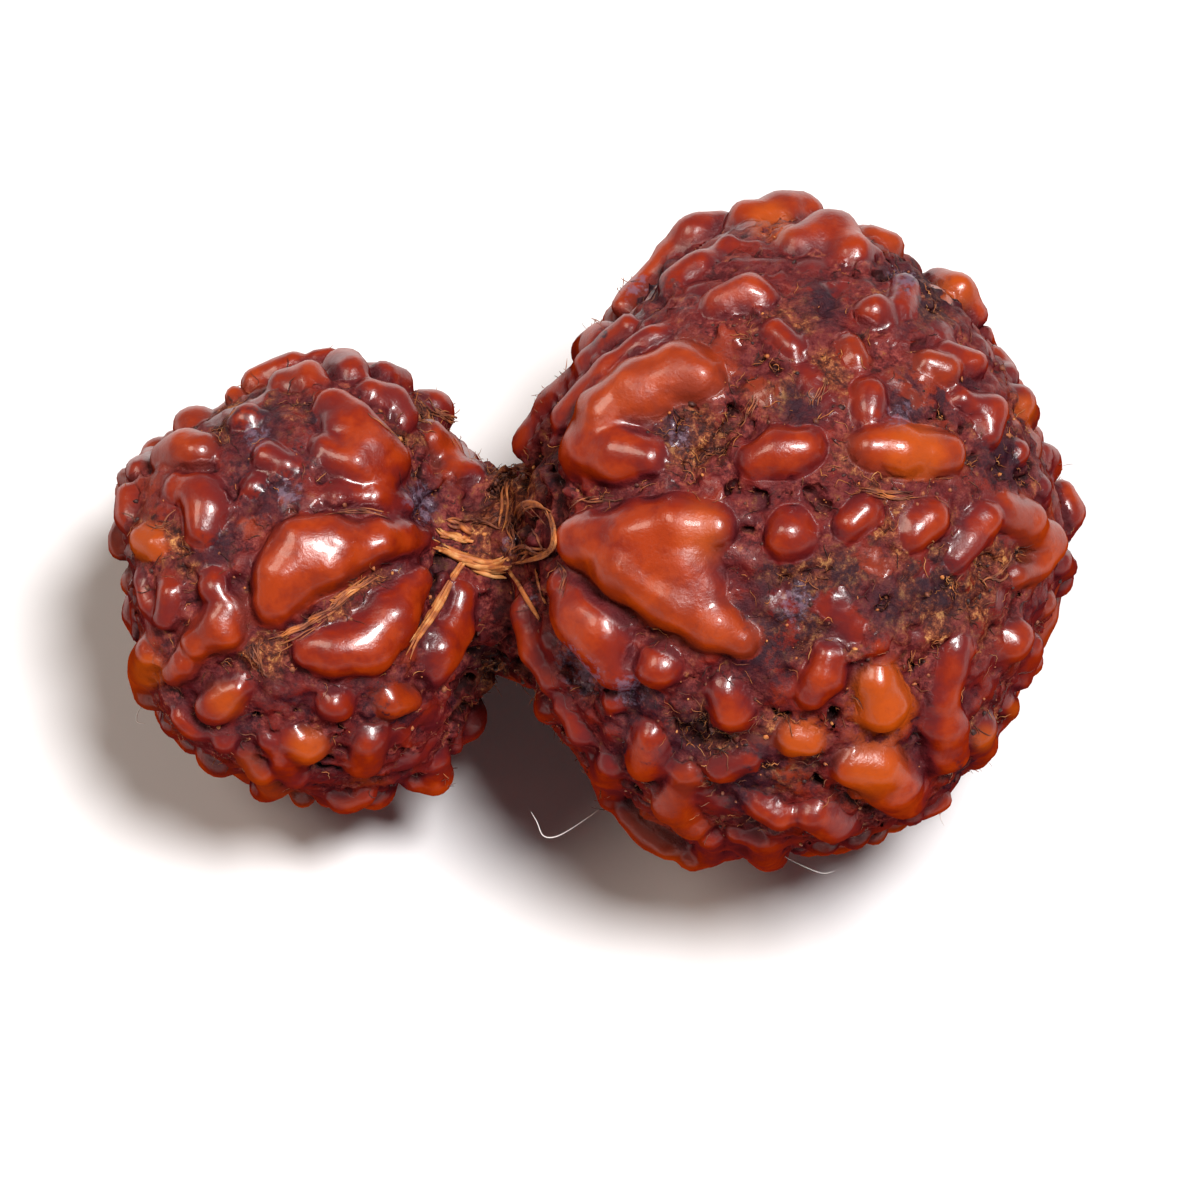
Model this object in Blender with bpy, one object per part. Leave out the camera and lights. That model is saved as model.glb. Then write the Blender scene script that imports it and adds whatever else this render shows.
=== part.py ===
"""Garbh gauri rudraksha: a large and a small rudraksha stone that grew as one piece.

Both stones are squat, squarish ellipsoids with some flatter sides, set pole to pole on a short
neck. Smooth swollen lobes stand out all over them, with a narrow crevice between neighbours.
Sizes are in millimetres up to the last step, which turns the object to the way it lies and
scales it to metres.

The modelling frame is the way the object is looked at from above: X to the right, Y up the view
and Z towards the eye. The lobes on that side are listed by hand, and those on the hidden side
follow a rule.
"""

import math
import random
from typing import NamedTuple

import bmesh
import bpy
from mathutils import Matrix, Vector


class Stone(NamedTuple):
    """The crevice floor of one stone: a squarish ellipsoid of revolution with some flatter sides."""

    centre: Vector
    polar: float
    equator: float
    squareness: float  # 2 is an ellipsoid, and more fills its shoulders out
    axis: Vector  # points from the neck to the free pole
    flats: tuple  # each (degrees from the view's right, distance from the centre)
    wedges: int  # how many lobes would go all the way round the neck


LOOKED_AT_FROM = math.radians(68)  # height of the view above the horizon

LARGE = Stone(
    centre=Vector((6.5, 0.0, 0.0)),
    polar=8.7,
    equator=10.25,
    squareness=2.5,
    axis=Vector((1.0, -0.13, 0.18)).normalized(),
    flats=((51, 9.0), (26, 8.1), (-31, 8.2), (-74, 9.6), (-138, 9.6), (137, 8.7)),
    wedges=16,
)
SMALL = Stone(
    centre=Vector((-10.2, -1.35, -2.9)),
    polar=5.6,
    equator=7.05,
    squareness=2.9,
    axis=Vector((-1.0, -0.14, -0.18)).normalized(),
    flats=((121, 5.7), (190, 4.9), (242, 6.1)),
    wedges=12,
)
FLAT_BLEND = 1.2  # how softly a flat runs out into the ellipsoid
NECK = (  # centre and radius, from the small stone to the large one
    (Vector((-7.6, -1.35, -2.55)), 4.4),
    (Vector((-3.5, -0.77, -1.85)), 2.75),
    (Vector((1.0, -1.1, -1.1)), 4.6),
)
FLARE = 0.8  # how far the neck and the stones blend into each other

LOBE_LEAST_RISE = 0.42  # a lobe stands this far above the floor, plus a share of its radius
LOBE_RISE_SHARE = 0.85
SEEN_SWELL = 1.35  # the listed radii are of a lobe's bright crown, which is narrower than its foot
LIMB_REACH = 0.35  # how much farther out a lobe on the outline may stand
ROOT_DEPTH = 1.3  # how far every lobe is sunk below the floor

FOOT_RADIUS = 1.0
FOOT_SPREAD = 2.6  # the large stone's two feet stand this far each side of its lowest point
FLOOR_GAP = 1.25  # from the large stone's lowest crevice to the surface that it lies on
SPOT_DEPTH = 0.25  # each foot is worn flat by this much

OUTSIDE = 25  # a line that seeks the object from outside starts this far off
NEAR_OUTSIDE = 2  # and one that seeks one stone, this far beyond its equator
SEEK_STEPS = 90
SEEK_SHARE = 0.7  # each step of such a line goes this share of the gap that is left
SEEK_CLOSE = 0.002  # and it ends when the gap is this small
SEEK_FAR = 60
NORMAL_STEP = 0.01

FINENESS = 0.2  # size of the cells that fuse the lobes and the stones
SMOOTHING_PASSES = 3
SMOOTHING = 0.5
MOST_TRIANGLES = 11_700
LOBE_DETAIL = 2  # how often the balls are divided that lobes, the neck and the stones start from
NECK_DETAIL = 4
STONE_DETAIL = 5
MILLIMETRE = 0.001
CUT_TOLERANCE = 1e-7

SHELL_COLOUR = (0.26, 0.045, 0.012, 1)
SHELL_ROUGHNESS = 0.3

# Lobes on the side that is seen. A lobe is a chain of swellings that run into each other, each
# given as (x, y, radius).
LARGE_LOBES = (
    # long ridges and wedges that spread from the neck, from the top down
    ((-2.3, 3.2, 0.45), (-1.5, 4.4, 0.45), (-0.3, 5.7, 0.42), (1.0, 6.8, 0.32)),
    ((-1.1, 3.9, 0.32), (0.4, 5.4, 0.40), (1.8, 6.5, 0.36)),
    ((-0.3, 2.9, 0.75), (0.4, 3.8, 0.85), (1.4, 4.6, 0.9), (2.5, 5.2, 0.85), (3.2, 5.0, 0.64)),
    ((-0.3, 2.8, 0.75), (0.8, 2.6, 0.75), (1.6, 2.5, 0.5)),
    ((-0.4, 0.0, 0.65), (1.1, 0.15, 0.75), (2.6, 0.25, 0.75), (3.7, 0.4, 0.55)),
    ((-0.4, -0.2, 0.6), (0.9, -0.9, 0.8), (2.4, -1.9, 0.85), (3.6, -2.7, 0.65), (4.5, -3.2, 0.45)),
    ((1.4, -0.3, 0.7), (2.7, -0.9, 0.8), (3.2, -1.6, 0.7)),
    ((-1.1, -1.6, 0.45), (-0.5, -2.4, 0.8), (0.2, -3.1, 0.85), (0.6, -4.1, 0.55)),
    ((1.9, -4.0, 0.55),),
    ((-2.5, -2.4, 0.3), (-2.1, -3.6, 0.36), (-1.6, -4.6, 0.4)),
    ((-1.1, -5.4, 0.36), (-0.6, -6.2, 0.4)),
    # top edge
    ((2.2, 9.8, 0.5), (3.2, 10.1, 0.6), (4.1, 10.2, 0.55)),
    ((5.0, 10.5, 0.6), (6.0, 10.6, 0.65), (6.7, 10.8, 0.55)),
    ((1.7, 9.2, 0.32), (2.3, 9.4, 0.4)),
    ((2.5, 8.3, 0.45), (3.3, 8.8, 0.45), (4.1, 9.5, 0.35)),
    ((0.7, 7.8, 0.35), (1.6, 8.6, 0.36)),
    ((6.5, 9.6, 0.6), (7.5, 9.8, 0.7), (8.3, 9.2, 0.5), (8.8, 9.3, 0.3)),
    ((9.1, 10.0, 0.4), (9.6, 9.8, 0.35)),
    ((11.1, 8.6, 0.35), (11.8, 8.1, 0.5), (12.3, 7.5, 0.42)),
    ((12.7, 6.7, 0.3), (13.0, 6.0, 0.35), (13.3, 5.3, 0.3)),
    # upper middle
    ((3.9, 7.5, 0.46), (4.8, 7.8, 0.52), (5.3, 7.7, 0.38)),
    ((5.6, 6.6, 0.35), (6.1, 6.1, 0.32)),
    ((8.8, 7.2, 0.48),),
    ((9.9, 8.0, 0.4), (9.7, 7.4, 0.3)),
    ((8.0, 6.1, 0.32), (8.2, 5.7, 0.3)),
    ((10.5, 5.5, 0.4), (11.0, 5.3, 0.42)),
    ((11.2, 5.95, 0.28), (11.9, 5.5, 0.42)),
    ((11.6, 4.4, 0.36), (12.4, 4.0, 0.48), (12.4, 3.3, 0.42)),
    ((8.5, 4.6, 0.4), (8.5, 3.9, 0.36)),
    ((4.9, 2.45, 0.45), (5.7, 2.7, 0.56), (6.5, 2.7, 0.54)),
    ((8.6, 2.75, 0.54), (9.5, 2.8, 0.62), (10.4, 2.7, 0.56), (11.1, 2.75, 0.5)),
    # along the middle seam
    ((6.0, 0.1, 0.6),),
    ((7.9, 0.4, 0.36), (8.4, 0.8, 0.42)),
    ((10.0, 0.0, 0.4), (10.5, 0.5, 0.48)),
    ((11.3, -0.7, 0.3), (11.7, -0.1, 0.4), (12.2, 0.5, 0.48)),
    ((12.9, 0.8, 0.45), (13.7, 0.5, 0.6), (14.3, -0.2, 0.6), (14.1, -0.9, 0.42), (13.4, -1.2, 0.28)),
    # right edge
    ((13.6, 4.4, 0.4), (14.1, 4.0, 0.42)),
    ((13.5, 2.8, 0.4),),
    ((14.3, 1.6, 0.35),),
    ((15.4, 1.5, 0.45), (15.6, 0.9, 0.5), (15.5, 0.4, 0.4)),
    ((15.1, -0.8, 0.35), (15.4, -0.9, 0.3)),
    ((14.6, -2.2, 0.34),),
    ((13.3, -3.3, 0.52),),
    ((14.1, -3.4, 0.3), (13.7, -4.4, 0.45)),
    ((13.1, -5.4, 0.4), (13.6, -5.6, 0.4)),
    # lower middle
    ((11.4, -3.6, 0.38), (11.2, -4.3, 0.42), (10.9, -5.1, 0.42), (11.0, -6.0, 0.48), (11.2, -6.9, 0.6)),
    ((8.9, -4.7, 0.55), (9.1, -5.3, 0.72)),
    ((7.3, -3.8, 0.4), (7.1, -4.4, 0.5), (6.8, -4.9, 0.42)),
    ((6.2, -6.4, 0.4), (6.7, -6.5, 0.42)),
    ((4.0, -4.9, 0.5), (4.2, -5.5, 0.55)),
    ((0.4, -5.3, 0.32),),
    ((2.8, -7.6, 0.35), (2.4, -8.6, 0.45), (3.0, -9.2, 0.45)),
    ((3.9, -7.4, 0.34), (4.7, -7.1, 0.32)),
    ((8.1, -7.2, 0.6), (8.9, -7.3, 0.65), (9.5, -7.9, 0.65), (9.8, -8.5, 0.5)),
    ((12.3, -6.2, 0.55), (12.5, -6.9, 0.5)),
    ((13.1, -7.3, 0.4),),
    # bottom edge
    ((0.4, -7.3, 0.4), (0.4, -8.0, 0.45), (0.4, -8.5, 0.42)),
    ((1.6, -6.3, 0.45), (1.5, -7.2, 0.5)),
    ((0.9, -9.2, 0.35), (1.5, -9.8, 0.42), (2.1, -10.3, 0.42)),
    ((3.0, -10.6, 0.36),),
    ((3.7, -9.7, 0.35), (3.8, -10.3, 0.42)),
    ((4.5, -9.6, 0.22), (4.5, -10.4, 0.24)),
    ((5.4, -9.7, 0.5), (5.5, -10.3, 0.54)),
    ((5.3, -8.6, 0.45), (5.8, -8.8, 0.45)),
    ((6.9, -8.8, 0.45), (7.6, -9.2, 0.5), (8.2, -9.3, 0.32)),
    ((9.1, -9.6, 0.36),),
    ((10.7, -9.0, 0.28), (11.3, -8.6, 0.3)),
)
SMALL_LOBES = (
    # wedges that spread from the neck, from the top down
    ((-5.7, 3.4, 0.45), (-5.3, 2.9, 0.48), (-4.9, 2.2, 0.4)),
    ((-4.8, 3.1, 0.28), (-4.3, 2.2, 0.34)),
    ((-8.7, 4.3, 0.5), (-8.2, 3.6, 0.7), (-7.7, 3.0, 0.75), (-7.1, 2.5, 0.6)),
    ((-9.0, 2.9, 0.4), (-8.1, 2.4, 0.48), (-7.2, 1.9, 0.4)),
    ((-8.6, 1.4, 0.3), (-7.4, 1.3, 0.3), (-6.4, 1.1, 0.24)),
    ((-10.6, -2.0, 0.62), (-10.3, -1.2, 0.7), (-9.7, -0.4, 0.75), (-8.6, -0.1, 0.7), (-7.4, 0.0, 0.55)),
    ((-7.4, 0.0, 0.55), (-6.6, 0.05, 0.42), (-5.9, 0.0, 0.3)),
    ((-9.9, -1.6, 0.55), (-9.0, -0.9, 0.6), (-8.0, -0.5, 0.45)),
    ((-6.1, -1.4, 0.4), (-6.9, -2.6, 0.75), (-7.6, -3.4, 0.75), (-8.7, -3.6, 0.6), (-9.5, -3.6, 0.48)),
    ((-4.6, -1.8, 0.36), (-4.9, -2.9, 0.52), (-5.4, -3.8, 0.58), (-5.5, -4.2, 0.5)),
    # top edge
    ((-10.9, 6.0, 0.42), (-10.4, 6.1, 0.4)),
    ((-11.7, 5.4, 0.4), (-11.4, 5.5, 0.36)),
    ((-12.3, 4.8, 0.26),),
    ((-11.7, 3.9, 0.4),),
    ((-10.9, 2.7, 0.38), (-10.3, 2.4, 0.32)),
    ((-11.3, 1.7, 0.3),),
    ((-10.4, 5.1, 0.5), (-9.8, 5.2, 0.58)),
    ((-9.6, 6.3, 0.26), (-9.1, 6.2, 0.34)),
    ((-8.5, 5.8, 0.46), (-8.3, 5.5, 0.46)),
    ((-7.3, 5.5, 0.42), (-6.8, 5.3, 0.38)),
    ((-7.6, 4.8, 0.42), (-7.0, 4.6, 0.4), (-6.6, 4.1, 0.38)),
    # left side
    ((-14.4, 2.7, 0.36), (-13.7, 2.9, 0.5), (-13.2, 2.8, 0.5)),
    ((-15.1, 2.8, 0.35), (-15.3, 2.3, 0.3)),
    ((-13.9, 1.6, 0.36), (-13.1, 1.5, 0.48), (-12.9, 0.9, 0.5), (-13.0, 0.4, 0.46)),
    ((-15.5, 1.4, 0.36), (-15.5, 0.8, 0.4)),
    ((-15.9, 0.5, 0.3), (-15.8, 0.0, 0.3)),
    ((-16.3, 0.1, 0.28), (-16.2, -0.3, 0.3)),
    ((-15.0, -0.1, 0.4), (-14.6, -0.2, 0.36)),
    ((-12.6, -1.6, 0.4),),
    ((-14.1, -1.7, 0.36), (-14.2, -2.5, 0.36)),
    ((-15.1, -1.4, 0.3), (-14.9, -2.1, 0.3)),
    ((-15.5, -1.6, 0.26), (-15.4, -2.4, 0.3), (-15.4, -3.1, 0.3)),
    ((-12.1, -2.3, 0.45), (-12.4, -2.9, 0.58), (-13.1, -3.4, 0.45)),
    ((-14.8, -3.8, 0.5), (-15.0, -4.4, 0.58), (-15.0, -5.0, 0.5)),
    ((-13.6, -4.1, 0.4), (-14.0, -4.5, 0.35)),
    ((-12.0, -4.9, 0.48), (-12.6, -5.4, 0.56)),
    ((-13.8, -5.8, 0.3), (-13.3, -6.2, 0.32)),
    # bottom edge
    ((-12.3, -6.6, 0.35),),
    ((-11.8, -7.0, 0.3), (-11.3, -7.5, 0.4), (-10.9, -8.2, 0.42)),
    ((-11.4, -8.5, 0.34),),
    ((-11.0, -6.6, 0.3), (-10.5, -7.1, 0.3), (-10.1, -7.8, 0.4)),
    ((-10.0, -6.6, 0.48), (-9.6, -6.8, 0.54)),
    ((-8.7, -5.4, 0.45),),
    ((-6.9, -5.3, 0.42), (-6.3, -5.2, 0.3)),
    ((-7.6, -6.5, 0.42), (-7.8, -7.3, 0.5)),
    ((-9.2, -8.6, 0.4), (-8.6, -8.5, 0.48), (-8.0, -8.4, 0.4)),
    ((-6.3, -8.0, 0.4), (-5.7, -7.9, 0.52), (-5.6, -7.3, 0.42)),
)


class Rule(NamedTuple):
    """How lobes are strewn where none are listed."""

    radii: tuple
    most_swellings: int
    tries: int
    gap: float  # the narrowest crevice that is left
    sunk: float  # how much lower they stand than other lobes of their size
    bald: float  # the angle round the neck that stays free of them, in degrees
    seen: bool  # on the side that is looked at, or else on the hidden side


STREWN_SEED = 7
STREWN = (
    Rule((0.65, 0.75, 0.85, 0.95), 3, 2400, 0.14, 0.0, 34, False),
    Rule((0.42, 0.5, 0.58), 2, 2400, 0.1, 0.0, 34, False),
    Rule((0.5, 0.62), 3, 1500, 0.04, 0.5, 52, True),
    Rule((0.3, 0.36, 0.42), 2, 2600, 0.06, 0.3, 58, True),
)
CHAIN_STEP = 1.5  # a strewn lobe's next swelling lies this many radii on
CHAIN_SHRINK = 0.12  # and is narrower by this share of the first
SEEN_FACING = 0.02  # a place is seen where the floor faces more than this to the eye
COLLAR_GAP = 0.1
COLLAR_WEDGE = ((27, 0.04), (37, 0.06), (47, 0.08), (57, 0.095))  # degrees off, share of the equator


def smooth_least(a, b, blend):
    """The smaller of two distances, rounded where they are within blend of each other."""
    overlap = max(blend - abs(a - b), 0.0)
    return min(a, b) - overlap * overlap / (4 * blend)


def stone_distance(point, stone):
    """Distance from a point to a stone's crevice floor, negative inside."""
    offset = point - stone.centre
    along = offset.dot(stone.axis)
    across = math.sqrt(max(offset.length_squared - along * along, 0.0))
    power = stone.squareness
    lengthwise = abs(along) / stone.polar
    sideways = across / stone.equator
    reach = max(lengthwise**power + sideways**power, 1e-9) ** (1 / power)
    slope = math.hypot(
        (lengthwise / reach) ** (power - 1) / stone.polar,
        (sideways / reach) ** (power - 1) / stone.equator,
    )
    gap = (reach - 1) / slope
    for turn, distance in stone.flats:
        turn = math.radians(turn)
        flat = offset.x * math.cos(turn) + offset.y * math.sin(turn) - distance
        gap = -smooth_least(-gap, -flat, FLAT_BLEND)
    return gap


def cone_distance(point, first, second):
    """Distance to a cone with round ends, each end a (centre, radius)."""
    along = second[0] - first[0]
    share = min(max((point - first[0]).dot(along) / along.length_squared, 0.0), 1.0)
    radius = first[1] + share * (second[1] - first[1])
    return (point - first[0] - share * along).length - radius


def floor_distance(point):
    """Distance from a point to the crevice floor of the whole object."""
    small = smooth_least(stone_distance(point, SMALL), cone_distance(point, NECK[0], NECK[1]), FLARE)
    large = smooth_least(stone_distance(point, LARGE), cone_distance(point, NECK[1], NECK[2]), FLARE)
    return smooth_least(small, large, FLARE)


def floor_normal(point):
    return Vector(
        [
            floor_distance(point + NORMAL_STEP * side) - floor_distance(point - NORMAL_STEP * side)
            for side in (Vector((1, 0, 0)), Vector((0, 1, 0)), Vector((0, 0, 1)))
        ]
    ).normalized()


def head_height(radius):
    """Height above the floor of the centre of a swelling of this radius."""
    return LOBE_LEAST_RISE + LOBE_RISE_SHARE * radius - radius


def seat(origin, towards, height, distance=floor_distance):
    """The first point on a line at this distance from a surface, or else the nearest miss."""
    point = origin.copy()
    nearest, least = point.copy(), math.inf
    for _ in range(SEEK_STEPS):
        gap = distance(point) - height
        if gap < least:
            nearest, least = point.copy(), gap
        if gap < SEEK_CLOSE or (point - origin).length > SEEK_FAR:
            break
        point += towards * max(SEEK_SHARE * gap, SEEK_CLOSE)
    return nearest


def seen_lobe(swellings):
    """The centres and radii of a lobe that is listed as the eye sees it."""
    lobe = []
    for x, y, radius in swellings:
        radius *= SEEN_SWELL
        centre = seat(Vector((x, y, OUTSIDE)), Vector((0, 0, -1)), head_height(radius))
        too_high = max(floor_distance(centre) - head_height(radius) - LIMB_REACH, 0)
        lobe.append((centre - too_high * floor_normal(centre), radius))
    return lobe


def on_stone(stone, direction, radius, sunk=0.0):
    """The centre of a swelling that lies in this direction from a stone's centre."""
    start = stone.centre + (stone.equator + NEAR_OUTSIDE) * direction
    return seat(start, -direction, head_height(radius) - sunk)


def is_clear(swellings, lobes, gap):
    """Whether a lobe keeps a crevice of this width to every other."""
    return all(
        (centre - other).length > radius + other_radius + gap
        for centre, radius in swellings
        for lobe in lobes
        for other, other_radius in lobe
    )


def is_seen(point):
    return floor_normal(point).z > SEEN_FACING


def add_collar(stone, lobes):
    """Wedges that spread from the neck over the hidden side, wider away from it."""
    start = stone.axis.orthogonal().normalized()
    for number in range(stone.wedges):
        side = Matrix.Rotation(number * math.tau / stone.wedges, 3, stone.axis) @ start
        lobe = []
        for tilt, share in COLLAR_WEDGE:
            angle = math.radians(tilt)
            direction = side * math.sin(angle) - stone.axis * math.cos(angle)
            radius = share * stone.equator
            lobe.append((on_stone(stone, direction, radius), radius))
        hidden = not any(is_seen(centre) for centre, _ in lobe[1:])
        if hidden and is_clear(lobe, lobes, COLLAR_GAP):
            lobes.append(lobe)


def strew(stone, lobes, rule, draw):
    """Lobes wherever they fit on one side of a stone."""
    for _ in range(rule.tries):
        direction = Vector([draw.gauss(0, 1) for _ in range(3)]).normalized()
        heading = direction.cross(Vector([draw.gauss(0, 1) for _ in range(3)])).normalized()
        radius = draw.choice(rule.radii)
        swellings = draw.randint(1, rule.most_swellings)
        if direction.dot(stone.axis) < -math.cos(math.radians(rule.bald)):
            continue
        lobe = []
        for step in range(swellings):
            size = radius * (1 - CHAIN_SHRINK * step)
            lobe.append((on_stone(stone, direction, size, rule.sunk), size))
            direction = (direction * stone.equator + heading * CHAIN_STEP * size).normalized()
        on_side = all(is_seen(centre) == rule.seen for centre, _ in lobe)
        if on_side and is_clear(lobe, lobes, rule.gap):
            lobes.append(lobe)


def lies_to_view():
    """The turn from the way the object lies, Z up, to the way it is looked at."""
    return Matrix.Rotation(LOOKED_AT_FROM - math.pi / 2, 3, "X")


def feet():
    """Three lobes that carry the object: two under the large stone and one under the small."""
    up = lies_to_view() @ Vector((0, 0, 1))
    level = lies_to_view() @ Vector((0, 1, 0))
    places = (
        LARGE.centre + level * FOOT_SPREAD,
        LARGE.centre - level * FOOT_SPREAD,
        SMALL.centre,
    )
    ground = seat(LARGE.centre - OUTSIDE * up, up, 0.0).dot(up) - FLOOR_GAP
    height = ground + FOOT_RADIUS - SPOT_DEPTH
    return [[(place + up * (height - place.dot(up)), FOOT_RADIUS)] for place in places]


def all_lobes():
    lobes = feet()
    lobes += [seen_lobe(swellings) for swellings in LARGE_LOBES + SMALL_LOBES]
    draw = random.Random(STREWN_SEED)
    for stone in (LARGE, SMALL):
        add_collar(stone, lobes)
        for rule in STREWN:
            strew(stone, lobes, rule, draw)
    return lobes


def add_hull(mesh, balls, subdivisions):
    """Adds the convex hull of some balls, each a (centre, radius), to a bmesh."""
    points = []
    for centre, radius in balls:
        ball = bmesh.new()
        bmesh.ops.create_icosphere(ball, subdivisions=subdivisions, radius=radius)
        points += [mesh.verts.new(centre + corner.co) for corner in ball.verts]
        ball.free()
    made = bmesh.ops.convex_hull(mesh, input=points)
    inner = [item for item in made["geom_interior"] if isinstance(item, bmesh.types.BMVert)]
    bmesh.ops.delete(mesh, geom=inner, context="VERTS")


def add_lobe(mesh, swellings):
    """Adds a lobe: each pair of neighbouring swellings with their roots, as one hull."""
    rooted = []
    for centre, radius in swellings:
        root = centre - floor_normal(centre) * (ROOT_DEPTH + floor_distance(centre))
        rooted.append([(centre, radius), (root, radius)])
    if len(rooted) == 1:
        add_hull(mesh, rooted[0], LOBE_DETAIL)
    for first, second in zip(rooted, rooted[1:]):
        add_hull(mesh, first + second, LOBE_DETAIL)


def add_stone(mesh, stone):
    """Adds a stone's crevice floor, a ball whose points are moved to it."""
    made = bmesh.ops.create_icosphere(mesh, subdivisions=STONE_DETAIL, radius=1)
    for corner in made["verts"]:
        start = stone.centre + (stone.equator + NEAR_OUTSIDE) * corner.co
        corner.co = seat(start, -corner.co, 0.0, lambda point: stone_distance(point, stone))


def loose_solids(lobes):
    """One mesh object that holds both stones, the neck and every lobe, not yet fused."""
    mesh = bmesh.new()
    add_stone(mesh, LARGE)
    add_stone(mesh, SMALL)
    add_hull(mesh, NECK[:2], NECK_DETAIL)
    add_hull(mesh, NECK[1:], NECK_DETAIL)
    for lobe in lobes:
        add_lobe(mesh, lobe)
    bmesh.ops.recalc_face_normals(mesh, faces=mesh.faces)
    data = bpy.data.meshes.new("rudraksha")
    mesh.to_mesh(data)
    mesh.free()
    stone = bpy.data.objects.new("rudraksha", data)
    bpy.context.collection.objects.link(stone)
    return stone


def apply_modifiers(obj):
    graph = bpy.context.evaluated_depsgraph_get()
    solid = bpy.data.meshes.new_from_object(obj.evaluated_get(graph))
    obj.modifiers.clear()
    obj.data = solid


def fuse(obj):
    """Joins what overlaps in one skin, eases the seams, and thins it to the triangles allowed."""
    remesh = obj.modifiers.new("Fuse", "REMESH")
    remesh.mode = "VOXEL"
    remesh.voxel_size = FINENESS
    ease = obj.modifiers.new("Ease", "SMOOTH")
    ease.factor = SMOOTHING
    ease.iterations = SMOOTHING_PASSES
    apply_modifiers(obj)
    triangles = sum(len(face.vertices) - 2 for face in obj.data.polygons)
    thin = obj.modifiers.new("Thin", "DECIMATE")
    thin.ratio = MOST_TRIANGLES / triangles
    apply_modifiers(obj)


def box_centre(lobes, turn):
    """The middle of the box round all the lobes, once they are turned."""
    centres = [(turn @ centre, radius) for lobe in lobes for centre, radius in lobe]
    low = [min(centre[k] - radius for centre, radius in centres) for k in range(3)]
    high = [max(centre[k] + radius for centre, radius in centres) for k in range(3)]
    return (Vector(low) + Vector(high)) / 2


def lay_down(obj, lobes):
    """Turns the object to the way it lies, scales it to metres, and wears its feet flat."""
    turn = lies_to_view().inverted()
    middle = box_centre(lobes, turn)
    foot = turn @ lobes[0][0][0]
    ground = foot.z - FOOT_RADIUS + SPOT_DEPTH
    drop = Matrix.Translation((-middle.x, -middle.y, -ground))
    obj.data.transform(Matrix.Scale(MILLIMETRE, 4) @ drop @ turn.to_4x4())
    mesh = bmesh.new()
    mesh.from_mesh(obj.data)
    everything = mesh.verts[:] + mesh.edges[:] + mesh.faces[:]
    cut = bmesh.ops.bisect_plane(
        mesh,
        geom=everything,
        dist=CUT_TOLERANCE,
        plane_co=(0, 0, 0),
        plane_no=(0, 0, 1),
        clear_inner=True,
    )
    rims = [item for item in cut["geom_cut"] if isinstance(item, bmesh.types.BMEdge)]
    bmesh.ops.holes_fill(mesh, edges=rims)
    bmesh.ops.triangulate(mesh, faces=mesh.faces)
    mesh.to_mesh(obj.data)
    mesh.free()


def give_colour(obj):
    """The glossy red-brown of the lobes."""
    shell = bpy.data.materials.new("stone_shell")
    shell.use_nodes = True
    finish = shell.node_tree.nodes["Principled BSDF"]
    finish.inputs["Base Color"].default_value = SHELL_COLOUR
    finish.inputs["Roughness"].default_value = SHELL_ROUGHNESS
    finish.inputs["Metallic"].default_value = 0
    obj.data.materials.clear()
    obj.data.materials.append(shell)


def main():
    for old in list(bpy.data.objects):
        bpy.data.objects.remove(old)
    lobes = all_lobes()
    stone = loose_solids(lobes)
    fuse(stone)
    lay_down(stone, lobes)
    stone.data.shade_smooth()
    give_colour(stone)


main()
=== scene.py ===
"""The looks of the garbh gauri rudraksha, a large and a small stone that grew as one piece.

The skin is modelled as a distance field: the crevice floor of both stones and their neck, with
every lobe of the CAD model raised from it, and is drawn much finer than the CAD's. Fibres of
dried pulp, crumbs and a few stray hairs cling to it. Sizes are in millimetres in the modelling
frame, X to the right, Y up the view and Z towards the eye, until a mesh is made.
"""

import math
import random
from typing import NamedTuple

import bmesh
import bpy
import numpy as np
from mathutils import Matrix, Vector

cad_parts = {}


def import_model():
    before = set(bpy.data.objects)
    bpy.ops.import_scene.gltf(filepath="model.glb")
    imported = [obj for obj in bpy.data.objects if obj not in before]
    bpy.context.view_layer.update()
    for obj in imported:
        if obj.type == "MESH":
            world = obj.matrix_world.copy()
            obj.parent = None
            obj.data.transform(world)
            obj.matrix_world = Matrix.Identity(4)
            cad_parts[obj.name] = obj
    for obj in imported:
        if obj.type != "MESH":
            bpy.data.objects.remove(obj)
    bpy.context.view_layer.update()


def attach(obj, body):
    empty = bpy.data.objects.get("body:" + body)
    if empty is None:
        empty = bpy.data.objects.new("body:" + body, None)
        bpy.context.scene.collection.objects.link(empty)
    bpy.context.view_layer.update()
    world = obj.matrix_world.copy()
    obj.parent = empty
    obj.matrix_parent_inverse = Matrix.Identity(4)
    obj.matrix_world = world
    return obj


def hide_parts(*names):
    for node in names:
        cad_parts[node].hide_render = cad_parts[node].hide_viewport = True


class Stone(NamedTuple):
    """The crevice floor of one stone: a squarish ellipsoid of revolution with some flatter sides."""

    centre: Vector
    polar: float
    equator: float
    squareness: float  # 2 is an ellipsoid, and more fills its shoulders out
    axis: Vector  # points from the neck to the free pole
    flats: tuple  # each (degrees from the view's right, distance from the centre)
    wedges: int  # how many lobes would go all the way round the neck


LOOKED_AT_FROM = math.radians(68)  # height of the view above the horizon

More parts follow.
